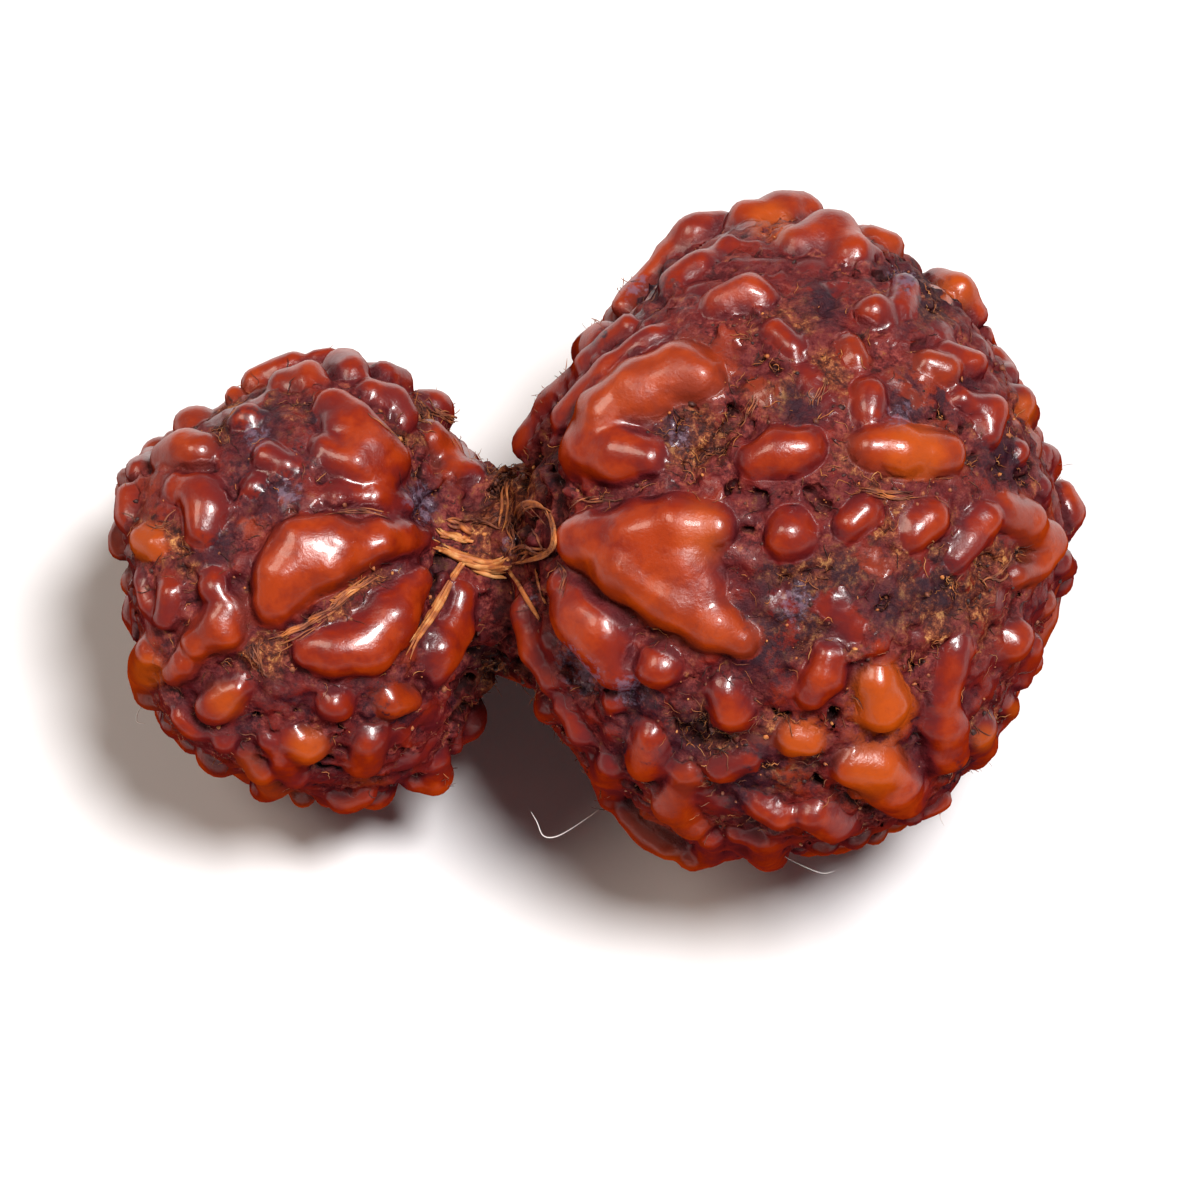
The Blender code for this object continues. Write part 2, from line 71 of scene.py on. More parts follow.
LARGE = Stone(
    centre=Vector((6.5, 0.0, 0.0)),
    polar=8.7,
    equator=10.25,
    squareness=2.5,
    axis=Vector((1.0, -0.13, 0.18)).normalized(),
    flats=((51, 9.0), (26, 8.1), (-31, 8.2), (-74, 9.6), (-138, 9.6), (137, 8.7)),
    wedges=16,
)
SMALL = Stone(
    centre=Vector((-10.2, -1.35, -2.9)),
    polar=5.6,
    equator=7.05,
    squareness=2.9,
    axis=Vector((-1.0, -0.14, -0.18)).normalized(),
    flats=((121, 5.7), (190, 4.9), (242, 6.1)),
    wedges=12,
)
FLAT_BLEND = 1.2  # how softly a flat runs out into the ellipsoid
NECK = (  # centre and radius, from the small stone to the large one
    (Vector((-7.6, -1.35, -2.55)), 4.4),
    (Vector((-3.5, -0.77, -1.85)), 2.75),
    (Vector((1.0, -1.1, -1.1)), 4.6),
)
FLARE = 0.8  # how far the neck and the stones blend into each other

LOBE_LEAST_RISE = 0.42  # a lobe stands this far above the floor, plus a share of its radius
LOBE_RISE_SHARE = 0.85
SEEN_SWELL = 1.35  # the listed radii are of a lobe's bright crown, which is narrower than its foot
LIMB_REACH = 0.35  # how much farther out a lobe on the outline may stand

FOOT_RADIUS = 1.0
FOOT_SPREAD = 2.6  # the large stone's two feet stand this far each side of its lowest point
FLOOR_GAP = 1.25  # from the large stone's lowest crevice to the surface that it lies on
SPOT_DEPTH = 0.25  # each foot is worn flat by this much

OUTSIDE = 25  # a line that seeks the object from outside starts this far off
NEAR_OUTSIDE = 2  # and one that seeks one stone, this far beyond its equator
SEEK_STEPS = 90
SEEK_SHARE = 0.7  # each step of such a line goes this share of the gap that is left
SEEK_CLOSE = 0.002  # and it ends when the gap is this small
SEEK_FAR = 60
NORMAL_STEP = 0.01

# Lobes on the side that is seen. A lobe is a chain of swellings that run into each other, each
# given as (x, y, radius).
LARGE_LOBES = (
    # long ridges and wedges that spread from the neck, from the top down
    ((-2.3, 3.2, 0.45), (-1.5, 4.4, 0.45), (-0.3, 5.7, 0.42), (1.0, 6.8, 0.32)),
    ((-1.1, 3.9, 0.32), (0.4, 5.4, 0.40), (1.8, 6.5, 0.36)),
    ((-0.3, 2.9, 0.75), (0.4, 3.8, 0.85), (1.4, 4.6, 0.9), (2.5, 5.2, 0.85), (3.2, 5.0, 0.64)),
    ((-0.3, 2.8, 0.75), (0.8, 2.6, 0.75), (1.6, 2.5, 0.5)),
    ((-0.4, 0.0, 0.65), (1.1, 0.15, 0.75), (2.6, 0.25, 0.75), (3.7, 0.4, 0.55)),
    ((-0.4, -0.2, 0.6), (0.9, -0.9, 0.8), (2.4, -1.9, 0.85), (3.6, -2.7, 0.65), (4.5, -3.2, 0.45)),
    ((1.4, -0.3, 0.7), (2.7, -0.9, 0.8), (3.2, -1.6, 0.7)),
    ((-1.1, -1.6, 0.45), (-0.5, -2.4, 0.8), (0.2, -3.1, 0.85), (0.6, -4.1, 0.55)),
    ((1.9, -4.0, 0.55),),
    ((-2.5, -2.4, 0.3), (-2.1, -3.6, 0.36), (-1.6, -4.6, 0.4)),
    ((-1.1, -5.4, 0.36), (-0.6, -6.2, 0.4)),
    # top edge
    ((2.2, 9.8, 0.5), (3.2, 10.1, 0.6), (4.1, 10.2, 0.55)),
    ((5.0, 10.5, 0.6), (6.0, 10.6, 0.65), (6.7, 10.8, 0.55)),
    ((1.7, 9.2, 0.32), (2.3, 9.4, 0.4)),
    ((2.5, 8.3, 0.45), (3.3, 8.8, 0.45), (4.1, 9.5, 0.35)),
    ((0.7, 7.8, 0.35), (1.6, 8.6, 0.36)),
    ((6.5, 9.6, 0.6), (7.5, 9.8, 0.7), (8.3, 9.2, 0.5), (8.8, 9.3, 0.3)),
    ((9.1, 10.0, 0.4), (9.6, 9.8, 0.35)),
    ((11.1, 8.6, 0.35), (11.8, 8.1, 0.5), (12.3, 7.5, 0.42)),
    ((12.7, 6.7, 0.3), (13.0, 6.0, 0.35), (13.3, 5.3, 0.3)),
    # upper middle
    ((3.9, 7.5, 0.46), (4.8, 7.8, 0.52), (5.3, 7.7, 0.38)),
    ((5.6, 6.6, 0.35), (6.1, 6.1, 0.32)),
    ((8.8, 7.2, 0.48),),
    ((9.9, 8.0, 0.4), (9.7, 7.4, 0.3)),
    ((8.0, 6.1, 0.32), (8.2, 5.7, 0.3)),
    ((10.5, 5.5, 0.4), (11.0, 5.3, 0.42)),
    ((11.2, 5.95, 0.28), (11.9, 5.5, 0.42)),
    ((11.6, 4.4, 0.36), (12.4, 4.0, 0.48), (12.4, 3.3, 0.42)),
    ((8.5, 4.6, 0.4), (8.5, 3.9, 0.36)),
    ((4.9, 2.45, 0.45), (5.7, 2.7, 0.56), (6.5, 2.7, 0.54)),
    ((8.6, 2.75, 0.54), (9.5, 2.8, 0.62), (10.4, 2.7, 0.56), (11.1, 2.75, 0.5)),
    # along the middle seam
    ((6.0, 0.1, 0.6),),
    ((7.9, 0.4, 0.36), (8.4, 0.8, 0.42)),
    ((10.0, 0.0, 0.4), (10.5, 0.5, 0.48)),
    ((11.3, -0.7, 0.3), (11.7, -0.1, 0.4), (12.2, 0.5, 0.48)),
    ((12.9, 0.8, 0.45), (13.7, 0.5, 0.6), (14.3, -0.2, 0.6), (14.1, -0.9, 0.42), (13.4, -1.2, 0.28)),
    # right edge
    ((13.6, 4.4, 0.4), (14.1, 4.0, 0.42)),
    ((13.5, 2.8, 0.4),),
    ((14.3, 1.6, 0.35),),
    ((15.4, 1.5, 0.45), (15.6, 0.9, 0.5), (15.5, 0.4, 0.4)),
    ((15.1, -0.8, 0.35), (15.4, -0.9, 0.3)),
    ((14.6, -2.2, 0.34),),
    ((13.3, -3.3, 0.52),),
    ((14.1, -3.4, 0.3), (13.7, -4.4, 0.45)),
    ((13.1, -5.4, 0.4), (13.6, -5.6, 0.4)),
    # lower middle
    ((11.4, -3.6, 0.38), (11.2, -4.3, 0.42), (10.9, -5.1, 0.42), (11.0, -6.0, 0.48), (11.2, -6.9, 0.6)),
    ((8.9, -4.7, 0.55), (9.1, -5.3, 0.72)),
    ((7.3, -3.8, 0.4), (7.1, -4.4, 0.5), (6.8, -4.9, 0.42)),
    ((6.2, -6.4, 0.4), (6.7, -6.5, 0.42)),
    ((4.0, -4.9, 0.5), (4.2, -5.5, 0.55)),
    ((0.4, -5.3, 0.32),),
    ((2.8, -7.6, 0.35), (2.4, -8.6, 0.45), (3.0, -9.2, 0.45)),
    ((3.9, -7.4, 0.34), (4.7, -7.1, 0.32)),
    ((8.1, -7.2, 0.6), (8.9, -7.3, 0.65), (9.5, -7.9, 0.65), (9.8, -8.5, 0.5)),
    ((12.3, -6.2, 0.55), (12.5, -6.9, 0.5)),
    ((13.1, -7.3, 0.4),),
    # bottom edge
    ((0.4, -7.3, 0.4), (0.4, -8.0, 0.45), (0.4, -8.5, 0.42)),
    ((1.6, -6.3, 0.45), (1.5, -7.2, 0.5)),
    ((0.9, -9.2, 0.35), (1.5, -9.8, 0.42), (2.1, -10.3, 0.42)),
    ((3.0, -10.6, 0.36),),
    ((3.7, -9.7, 0.35), (3.8, -10.3, 0.42)),
    ((4.5, -9.6, 0.22), (4.5, -10.4, 0.24)),
    ((5.4, -9.7, 0.5), (5.5, -10.3, 0.54)),
    ((5.3, -8.6, 0.45), (5.8, -8.8, 0.45)),
    ((6.9, -8.8, 0.45), (7.6, -9.2, 0.5), (8.2, -9.3, 0.32)),
    ((9.1, -9.6, 0.36),),
    ((10.7, -9.0, 0.28), (11.3, -8.6, 0.3)),
)
SMALL_LOBES = (
    # wedges that spread from the neck, from the top down
    ((-5.7, 3.4, 0.45), (-5.3, 2.9, 0.48), (-4.9, 2.2, 0.4)),
    ((-4.8, 3.1, 0.28), (-4.3, 2.2, 0.34)),
    ((-8.7, 4.3, 0.5), (-8.2, 3.6, 0.7), (-7.7, 3.0, 0.75), (-7.1, 2.5, 0.6)),
    ((-9.0, 2.9, 0.4), (-8.1, 2.4, 0.48), (-7.2, 1.9, 0.4)),
    ((-8.6, 1.4, 0.3), (-7.4, 1.3, 0.3), (-6.4, 1.1, 0.24)),
    ((-10.6, -2.0, 0.62), (-10.3, -1.2, 0.7), (-9.7, -0.4, 0.75), (-8.6, -0.1, 0.7), (-7.4, 0.0, 0.55)),
    ((-7.4, 0.0, 0.55), (-6.6, 0.05, 0.42), (-5.9, 0.0, 0.3)),
    ((-9.9, -1.6, 0.55), (-9.0, -0.9, 0.6), (-8.0, -0.5, 0.45)),
    ((-6.1, -1.4, 0.4), (-6.9, -2.6, 0.75), (-7.6, -3.4, 0.75), (-8.7, -3.6, 0.6), (-9.5, -3.6, 0.48)),
    ((-4.6, -1.8, 0.36), (-4.9, -2.9, 0.52), (-5.4, -3.8, 0.58), (-5.5, -4.2, 0.5)),
    # top edge
    ((-10.9, 6.0, 0.42), (-10.4, 6.1, 0.4)),
    ((-11.7, 5.4, 0.4), (-11.4, 5.5, 0.36)),
    ((-12.3, 4.8, 0.26),),
    ((-11.7, 3.9, 0.4),),
    ((-10.9, 2.7, 0.38), (-10.3, 2.4, 0.32)),
    ((-11.3, 1.7, 0.3),),
    ((-10.4, 5.1, 0.5), (-9.8, 5.2, 0.58)),
    ((-9.6, 6.3, 0.26), (-9.1, 6.2, 0.34)),
    ((-8.5, 5.8, 0.46), (-8.3, 5.5, 0.46)),
    ((-7.3, 5.5, 0.42), (-6.8, 5.3, 0.38)),
    ((-7.6, 4.8, 0.42), (-7.0, 4.6, 0.4), (-6.6, 4.1, 0.38)),
    # left side
    ((-14.4, 2.7, 0.36), (-13.7, 2.9, 0.5), (-13.2, 2.8, 0.5)),
    ((-15.1, 2.8, 0.35), (-15.3, 2.3, 0.3)),
    ((-13.9, 1.6, 0.36), (-13.1, 1.5, 0.48), (-12.9, 0.9, 0.5), (-13.0, 0.4, 0.46)),
    ((-15.5, 1.4, 0.36), (-15.5, 0.8, 0.4)),
    ((-15.9, 0.5, 0.3), (-15.8, 0.0, 0.3)),
    ((-16.3, 0.1, 0.28), (-16.2, -0.3, 0.3)),
    ((-15.0, -0.1, 0.4), (-14.6, -0.2, 0.36)),
    ((-12.6, -1.6, 0.4),),
    ((-14.1, -1.7, 0.36), (-14.2, -2.5, 0.36)),
    ((-15.1, -1.4, 0.3), (-14.9, -2.1, 0.3)),
    ((-15.5, -1.6, 0.26), (-15.4, -2.4, 0.3), (-15.4, -3.1, 0.3)),
    ((-12.1, -2.3, 0.45), (-12.4, -2.9, 0.58), (-13.1, -3.4, 0.45)),
    ((-14.8, -3.8, 0.5), (-15.0, -4.4, 0.58), (-15.0, -5.0, 0.5)),
    ((-13.6, -4.1, 0.4), (-14.0, -4.5, 0.35)),
    ((-12.0, -4.9, 0.48), (-12.6, -5.4, 0.56)),
    ((-13.8, -5.8, 0.3), (-13.3, -6.2, 0.32)),
    # bottom edge
    ((-12.3, -6.6, 0.35),),
    ((-11.8, -7.0, 0.3), (-11.3, -7.5, 0.4), (-10.9, -8.2, 0.42)),
    ((-11.4, -8.5, 0.34),),
    ((-11.0, -6.6, 0.3), (-10.5, -7.1, 0.3), (-10.1, -7.8, 0.4)),
    ((-10.0, -6.6, 0.48), (-9.6, -6.8, 0.54)),
    ((-8.7, -5.4, 0.45),),
    ((-6.9, -5.3, 0.42), (-6.3, -5.2, 0.3)),
    ((-7.6, -6.5, 0.42), (-7.8, -7.3, 0.5)),
    ((-9.2, -8.6, 0.4), (-8.6, -8.5, 0.48), (-8.0, -8.4, 0.4)),
    ((-6.3, -8.0, 0.4), (-5.7, -7.9, 0.52), (-5.6, -7.3, 0.42)),
)


class Rule(NamedTuple):
    """How lobes are strewn where none are listed."""

    radii: tuple
    most_swellings: int
    tries: int
    gap: float  # the narrowest crevice that is left
    sunk: float  # how much lower they stand than other lobes of their size
    bald: float  # the angle round the neck that stays free of them, in degrees
    seen: bool  # on the side that is looked at, or else on the hidden side


STREWN_SEED = 7
STREWN = (
    Rule((0.65, 0.75, 0.85, 0.95), 3, 2400, 0.14, 0.0, 34, False),
    Rule((0.42, 0.5, 0.58), 2, 2400, 0.1, 0.0, 34, False),
    Rule((0.5, 0.62), 3, 1500, 0.04, 0.5, 52, True),
    Rule((0.3, 0.36, 0.42), 2, 2600, 0.06, 0.3, 58, True),
)
CHAIN_STEP = 1.5  # a strewn lobe's next swelling lies this many radii on
CHAIN_SHRINK = 0.12  # and is narrower by this share of the first
SEEN_FACING = 0.02  # a place is seen where the floor faces more than this to the eye
COLLAR_GAP = 0.1
COLLAR_WEDGE = ((27, 0.04), (37, 0.06), (47, 0.08), (57, 0.095))  # degrees off, share of the equator


def smooth_least(a, b, blend):
    """The smaller of two distances, rounded where they are within blend of each other."""
    overlap = max(blend - abs(a - b), 0.0)
    return min(a, b) - overlap * overlap / (4 * blend)


def stone_distance(point, stone):
    """Distance from a point to a stone's crevice floor, negative inside."""
    offset = point - stone.centre
    along = offset.dot(stone.axis)
    across = math.sqrt(max(offset.length_squared - along * along, 0.0))
    power = stone.squareness
    lengthwise = abs(along) / stone.polar
    sideways = across / stone.equator
    reach = max(lengthwise**power + sideways**power, 1e-9) ** (1 / power)
    slope = math.hypot(
        (lengthwise / reach) ** (power - 1) / stone.polar,
        (sideways / reach) ** (power - 1) / stone.equator,
    )
    gap = (reach - 1) / slope
    for turn, distance in stone.flats:
        turn = math.radians(turn)
        flat = offset.x * math.cos(turn) + offset.y * math.sin(turn) - distance
        gap = -smooth_least(-gap, -flat, FLAT_BLEND)
    return gap


def cone_distance(point, first, second):
    """Distance to a cone with round ends, each end a (centre, radius)."""
    along = second[0] - first[0]
    share = min(max((point - first[0]).dot(along) / along.length_squared, 0.0), 1.0)
    radius = first[1] + share * (second[1] - first[1])
    return (point - first[0] - share * along).length - radius


def floor_distance(point):
    """Distance from a point to the crevice floor of the whole object."""
    small = smooth_least(stone_distance(point, SMALL), cone_distance(point, NECK[0], NECK[1]), FLARE)
    large = smooth_least(stone_distance(point, LARGE), cone_distance(point, NECK[1], NECK[2]), FLARE)
    return smooth_least(small, large, FLARE)


def floor_normal(point):
    return Vector(
        [
            floor_distance(point + NORMAL_STEP * side) - floor_distance(point - NORMAL_STEP * side)
            for side in (Vector((1, 0, 0)), Vector((0, 1, 0)), Vector((0, 0, 1)))
        ]
    ).normalized()


def head_height(radius):
    """Height above the floor of the centre of a swelling of this radius."""
    return LOBE_LEAST_RISE + LOBE_RISE_SHARE * radius - radius


def seat(origin, towards, height, distance=floor_distance):
    """The first point on a line at this distance from a surface, or else the nearest miss."""
    point = origin.copy()
    nearest, least = point.copy(), math.inf
    for _ in range(SEEK_STEPS):
        gap = distance(point) - height
        if gap < least:
            nearest, least = point.copy(), gap
        if gap < SEEK_CLOSE or (point - origin).length > SEEK_FAR:
            break
        point += towards * max(SEEK_SHARE * gap, SEEK_CLOSE)
    return nearest


def seen_lobe(swellings):
    """The centres and radii of a lobe that is listed as the eye sees it."""
    lobe = []
    for x, y, radius in swellings:
        radius *= SEEN_SWELL
        centre = seat(Vector((x, y, OUTSIDE)), Vector((0, 0, -1)), head_height(radius))
        too_high = max(floor_distance(centre) - head_height(radius) - LIMB_REACH, 0)
        lobe.append((centre - too_high * floor_normal(centre), radius))
    return lobe


def on_stone(stone, direction, radius, sunk=0.0):
    """The centre of a swelling that lies in this direction from a stone's centre."""
    start = stone.centre + (stone.equator + NEAR_OUTSIDE) * direction
    return seat(start, -direction, head_height(radius) - sunk)


def is_clear(swellings, lobes, gap):
    """Whether a lobe keeps a crevice of this width to every other."""
    return all(
        (centre - other).length > radius + other_radius + gap
        for centre, radius in swellings
        for lobe in lobes
        for other, other_radius in lobe
    )


def is_seen(point):
    return floor_normal(point).z > SEEN_FACING


def add_collar(stone, lobes):
    """Wedges that spread from the neck over the hidden side, wider away from it."""
    start = stone.axis.orthogonal().normalized()
    for number in range(stone.wedges):
        side = Matrix.Rotation(number * math.tau / stone.wedges, 3, stone.axis) @ start
        lobe = []
        for tilt, share in COLLAR_WEDGE:
            angle = math.radians(tilt)
            direction = side * math.sin(angle) - stone.axis * math.cos(angle)
            radius = share * stone.equator
            lobe.append((on_stone(stone, direction, radius), radius))
        hidden = not any(is_seen(centre) for centre, _ in lobe[1:])
        if hidden and is_clear(lobe, lobes, COLLAR_GAP):
            lobes.append(lobe)


def strew(stone, lobes, rule, draw):
    """Lobes wherever they fit on one side of a stone."""
    for _ in range(rule.tries):
        direction = Vector([draw.gauss(0, 1) for _ in range(3)]).normalized()
        heading = direction.cross(Vector([draw.gauss(0, 1) for _ in range(3)])).normalized()
        radius = draw.choice(rule.radii)
        swellings = draw.randint(1, rule.most_swellings)
        if direction.dot(stone.axis) < -math.cos(math.radians(rule.bald)):
            continue
        lobe = []
        for step in range(swellings):
            size = radius * (1 - CHAIN_SHRINK * step)
            lobe.append((on_stone(stone, direction, size, rule.sunk), size))
            direction = (direction * stone.equator + heading * CHAIN_STEP * size).normalized()
        on_side = all(is_seen(centre) == rule.seen for centre, _ in lobe)
        if on_side and is_clear(lobe, lobes, rule.gap):
            lobes.append(lobe)


def lies_to_view():
    """The turn from the way the object lies, Z up, to the way it is looked at."""
    return Matrix.Rotation(LOOKED_AT_FROM - math.pi / 2, 3, "X")


def feet():
    """Three lobes that carry the object: two under the large stone and one under the small."""
    up = lies_to_view() @ Vector((0, 0, 1))
    level = lies_to_view() @ Vector((0, 1, 0))
    places = (
        LARGE.centre + level * FOOT_SPREAD,
        LARGE.centre - level * FOOT_SPREAD,
        SMALL.centre,
    )
    ground = seat(LARGE.centre - OUTSIDE * up, up, 0.0).dot(up) - FLOOR_GAP
    height = ground + FOOT_RADIUS - SPOT_DEPTH
    return [[(place + up * (height - place.dot(up)), FOOT_RADIUS)] for place in places]


def all_lobes():
    lobes = feet()
    lobes += [seen_lobe(swellings) for swellings in LARGE_LOBES + SMALL_LOBES]
    draw = random.Random(STREWN_SEED)
    for stone in (LARGE, SMALL):
        add_collar(stone, lobes)
        for rule in STREWN:
            strew(stone, lobes, rule, draw)
    return lobes


def box_centre(lobes, turn):
    """The middle of the box round all the lobes, once they are turned."""
    centres = [(turn @ centre, radius) for lobe in lobes for centre, radius in lobe]
    low = [min(centre[k] - radius for centre, radius in centres) for k in range(3)]
    high = [max(centre[k] + radius for centre, radius in centres) for k in range(3)]
    return (Vector(low) + Vector(high)) / 2


MILLIMETRES = 1000  # in a metre
TINT_SEED = 11
TINT_SHARE = 0.7
BRIGHT_SHARE = 0.9
MOST_TINT = 1.3
NEAR_REACH = 1.4  # nearness ends this many sizes from a place, and is full one size closer in
SEEN_ABOVE = -5  # the listed places reach down to this height
CREVICE_OPENNESS = 1.1  # a place is a crevice by how far its openness falls short of this
BARE_LOBE = 0.05  # nothing clings to what is nearer to a lobe than this
CLEAR_OF_GROUND = 4e-4  # in metres
LITTER_ODDS = 6
FIBRE_SEED = 5
FIBRES = 4200
FIBRE_STEPS = 6
FIBRE_STEP = (0.04, 0.13)
FIBRE_WANDER = 0.4
FIBRE_HEIGHT = 0.02
FIBRE_CLEARANCE = 0.05
FIBRE_RADII = (0.008, 0.024)
TAPER_ENDS = (0.012, 0.988)  # where a tube starts and stops along the arch of its taper
THIN_SIDES = 3
THIN_FLATNESS = 0.55
STRAND_SEED = 8
STRAND_POINTS = 16
STRAND_SIDES = 6
STRAND_FLATNESS = 0.7
ROUTE_POINTS = 60
CORD_LENGTHS = (0.8, 0.97)  # shares of the whole route
LOOSE_LENGTHS = (0.3, 0.75)
CORD_LEAST_WIDTH = 0.5  # share of the listed radius
LOOSE_LEAST_WIDTH = 0.3
BENDS = ((0.5, 1.0), (0.4, 2.6))  # how far a strand sways from its route, and in how many half waves
SHADE_SPREAD = 0.06
STRAND_JUMP = 0.5  # a loose strand that drops more than this between two points isn't made
CORD_EASING = 7  # rounds of smoothing that pull a cord taut over the hollows
LOOSE_EASING = 3
CRUMB_SEED = 4
CRUMBS = 3000
CRUMB_SQUASH = (0.45, 1.3)
CRUMB_SHIFT = (0.75, 1.25)
CRUMB_SIZE = (0.03, 0.09, 2.5)  # least, how much more at most, and how rare the large ones are
FUZZ_SEED = 6
FUZZ = 700
FUZZ_FACING = 0.6  # fuzz grows where the skin faces less than this to the eye
FUZZ_LENGTH = (0.05, 0.22)
FUZZ_RADII = (0.008, 0.022)
FUZZ_POINTS = 7
HAIR_POINTS = 22
HAIR_SIDES = 5
HAIR_RADIUS = 0.022
HAIR_COLOUR = (0.75, 0.70, 0.68)

# Strands of pulp, each a route of (x, y) places, how many side by side, their spread, how pale
# they are and their greatest radius. Cords run whole and taut; the others lie loose and broken.
CORDS = (
    (((-4.4, -0.55), (-4.9, -1.3), (-5.4, -2.2), (-5.9, -3.0), (-6.4, -3.9)), 6, 0.07, 0.88, 0.12),
    (((-5.5, -0.2), (-4.9, -0.45), (-4.3, -0.62), (-3.7, -0.8), (-3.0, -0.75)), 9, 0.1, 0.93, 0.13),
    (((-4.6, -0.6), (-4.0, -0.85), (-3.4, -1.0), (-2.9, -0.9)), 6, 0.08, 0.97, 0.12),
    (((-1.7, 1.0), (-1.42, 0.4), (-1.4, -0.2), (-1.7, -0.6), (-2.9, -0.85)), 5, 0.05, 0.84, 0.1),
    (((-1.6, 0.8), (-2.0, 1.15), (-2.6, 0.95), (-2.8, 0.3)), 4, 0.08, 0.62, 0.08),
    (((-3.05, 1.9), (-3.1, 1.2), (-3.25, 0.3)), 5, 0.06, 0.84, 0.065),
    (((-3.0, -1.0), (-2.5, -1.7), (-2.2, -2.2), (-1.85, -2.75)), 4, 0.04, 0.9, 0.09),
    (((-2.1, -0.9), (-1.95, -1.5), (-1.75, -2.2)), 3, 0.04, 0.78, 0.07),
    (((-5.4, 0.25), (-4.8, 0.1), (-4.1, 0.0)), 6, 0.1, 0.9, 0.12),
    (((-5.2, 0.6), (-4.7, 0.5), (-4.2, 0.3)), 4, 0.1, 0.72, 0.09),
    (((-2.8, -0.6), (-2.2, -0.45), (-1.6, -0.5)), 5, 0.1, 0.7, 0.09),
)
STRANDS = (
    (((-3.1, 0.9), (-2.9, 0.2), (-2.8, -0.5)), 9, 0.18, 0.6, 0.045),
    (((-4.2, 0.7), (-3.6, 0.5), (-3.0, 0.6)), 8, 0.2, 0.5, 0.04),
    (((-2.4, 0.8), (-2.0, 0.1), (-1.9, -0.6)), 9, 0.2, 0.55, 0.045),
    (((-2.6, 1.5), (-2.1, 0.9), (-1.7, 0.4)), 8, 0.2, 0.5, 0.04),
    (((-1.3, -0.6), (-1.1, -1.2), (-1.2, -1.9)), 6, 0.1, 0.52, 0.035),
    (((-8.3, -1.9), (-9.1, -2.5), (-9.9, -3.0), (-10.8, -3.3)), 20, 0.12, 0.66, 0.05),
    (((-7.4, -1.2), (-8.2, -1.8), (-9.0, -2.3)), 16, 0.1, 0.76, 0.055),
    (((-8.0, 4.3), (-7.0, 3.7), (-6.2, 2.9), (-5.6, 1.9)), 14, 0.07, 0.68, 0.045),
    (((-9.0, 0.8), (-7.9, 0.95), (-6.8, 0.75)), 9, 0.08, 0.56, 0.035),
    (((-6.1, 4.7), (-5.5, 4.3), (-4.9, 3.9)), 10, 0.12, 0.6, 0.032),
    (((-6.0, 4.3), (-5.2, 4.2), (-4.5, 3.85)), 12, 0.1, 0.64, 0.032),
    (((-5.4, 4.0), (-4.8, 3.5), (-4.4, 3.0)), 8, 0.12, 0.56, 0.03),
    (((-11.2, -3.4), (-11.2, -4.0), (-11.0, -4.6)), 10, 0.12, 0.6, 0.035),
    (((-13.8, 0.9), (-14.4, 0.4), (-14.9, 0.5)), 8, 0.1, 0.6, 0.03),
    (((-12.8, 3.5), (-12.2, 3.9), (-11.9, 4.5)), 8, 0.14, 0.56, 0.03),
    (((8.2, 1.45), (9.2, 1.35), (10.2, 1.3)), 12, 0.12, 0.66, 0.035),
    (((12.2, -1.5), (12.8, -1.2), (13.2, -0.6)), 10, 0.12, 0.64, 0.035),
    (((6.8, 4.1), (7.0, 4.6), (7.2, 5.1)), 8, 0.14, 0.58, 0.03),
    (((4.4, 3.4), (4.8, 3.9), (5.0, 4.4)), 8, 0.12, 0.6, 0.03),
    (((10.1, -3.5), (9.9, -4.0), (10.0, -4.5)), 9, 0.1, 0.66, 0.035),
    (((-1.0, 1.0), (-0.2, 1.2), (0.8, 1.3)), 10, 0.08, 0.58, 0.035),
)

FUZZ_PLACES = (
    (-6.1, 4.7, 0.5), (-5.2, 4.1, 0.6), (-4.6, 3.6, 0.5), (-4.0, 2.6, 0.4), (-3.5, 2.2, 0.5),
    (-4.0, -4.8, 0.5), (-3.1, -5.0, 0.6), (-2.1, -5.2, 0.5), (-1.5, -6.3, 0.5), (-0.9, -7.5, 0.5),
    (-0.3, -8.6, 0.5), (-2.1, 4.6, 0.4), (-1.3, 5.6, 0.4), (-0.2, 7.1, 0.4), (0.9, 8.4, 0.4),
    (13.0, -8.0, 0.5), (14.4, -3.0, 0.4), (15.4, 2.2, 0.4), (-14.0, -6.0, 0.5), (-12.6, -7.3, 0.4),
    (-15.9, 1.8, 0.3), (-12.5, 5.3, 0.4), (-8.9, 6.8, 0.3), (-5.3, -6.4, 0.4), (-5.0, -8.0, 0.4),
)

# Hairs, each a route of (x, y, z) places.
HAIRS = (
    (
        (0.0, -9.0, -1.0), (-0.9, -9.6, -0.4), (-1.5, -9.9, -0.1),
        (-1.9, -9.85, 0.0), (-2.1, -9.4, 0.1), (-2.3, -9.05, 0.2),
    ),
    ((5.7, -10.2, 0.5), (6.3, -10.6, 0.8), (7.3, -11.05, 0.9), (7.8, -11.0, 0.9)),
    ((11.3, -8.7, -1.0), (11.35, -9.0, -0.6), (11.38, -9.3, -0.4), (11.5, -9.55, -0.4)),
    ((-15.2, -5.4, -4.0), (-15.6, -5.7, -3.8), (-15.7, -6.1, -3.7), (-15.4, -6.2, -3.7)),
)

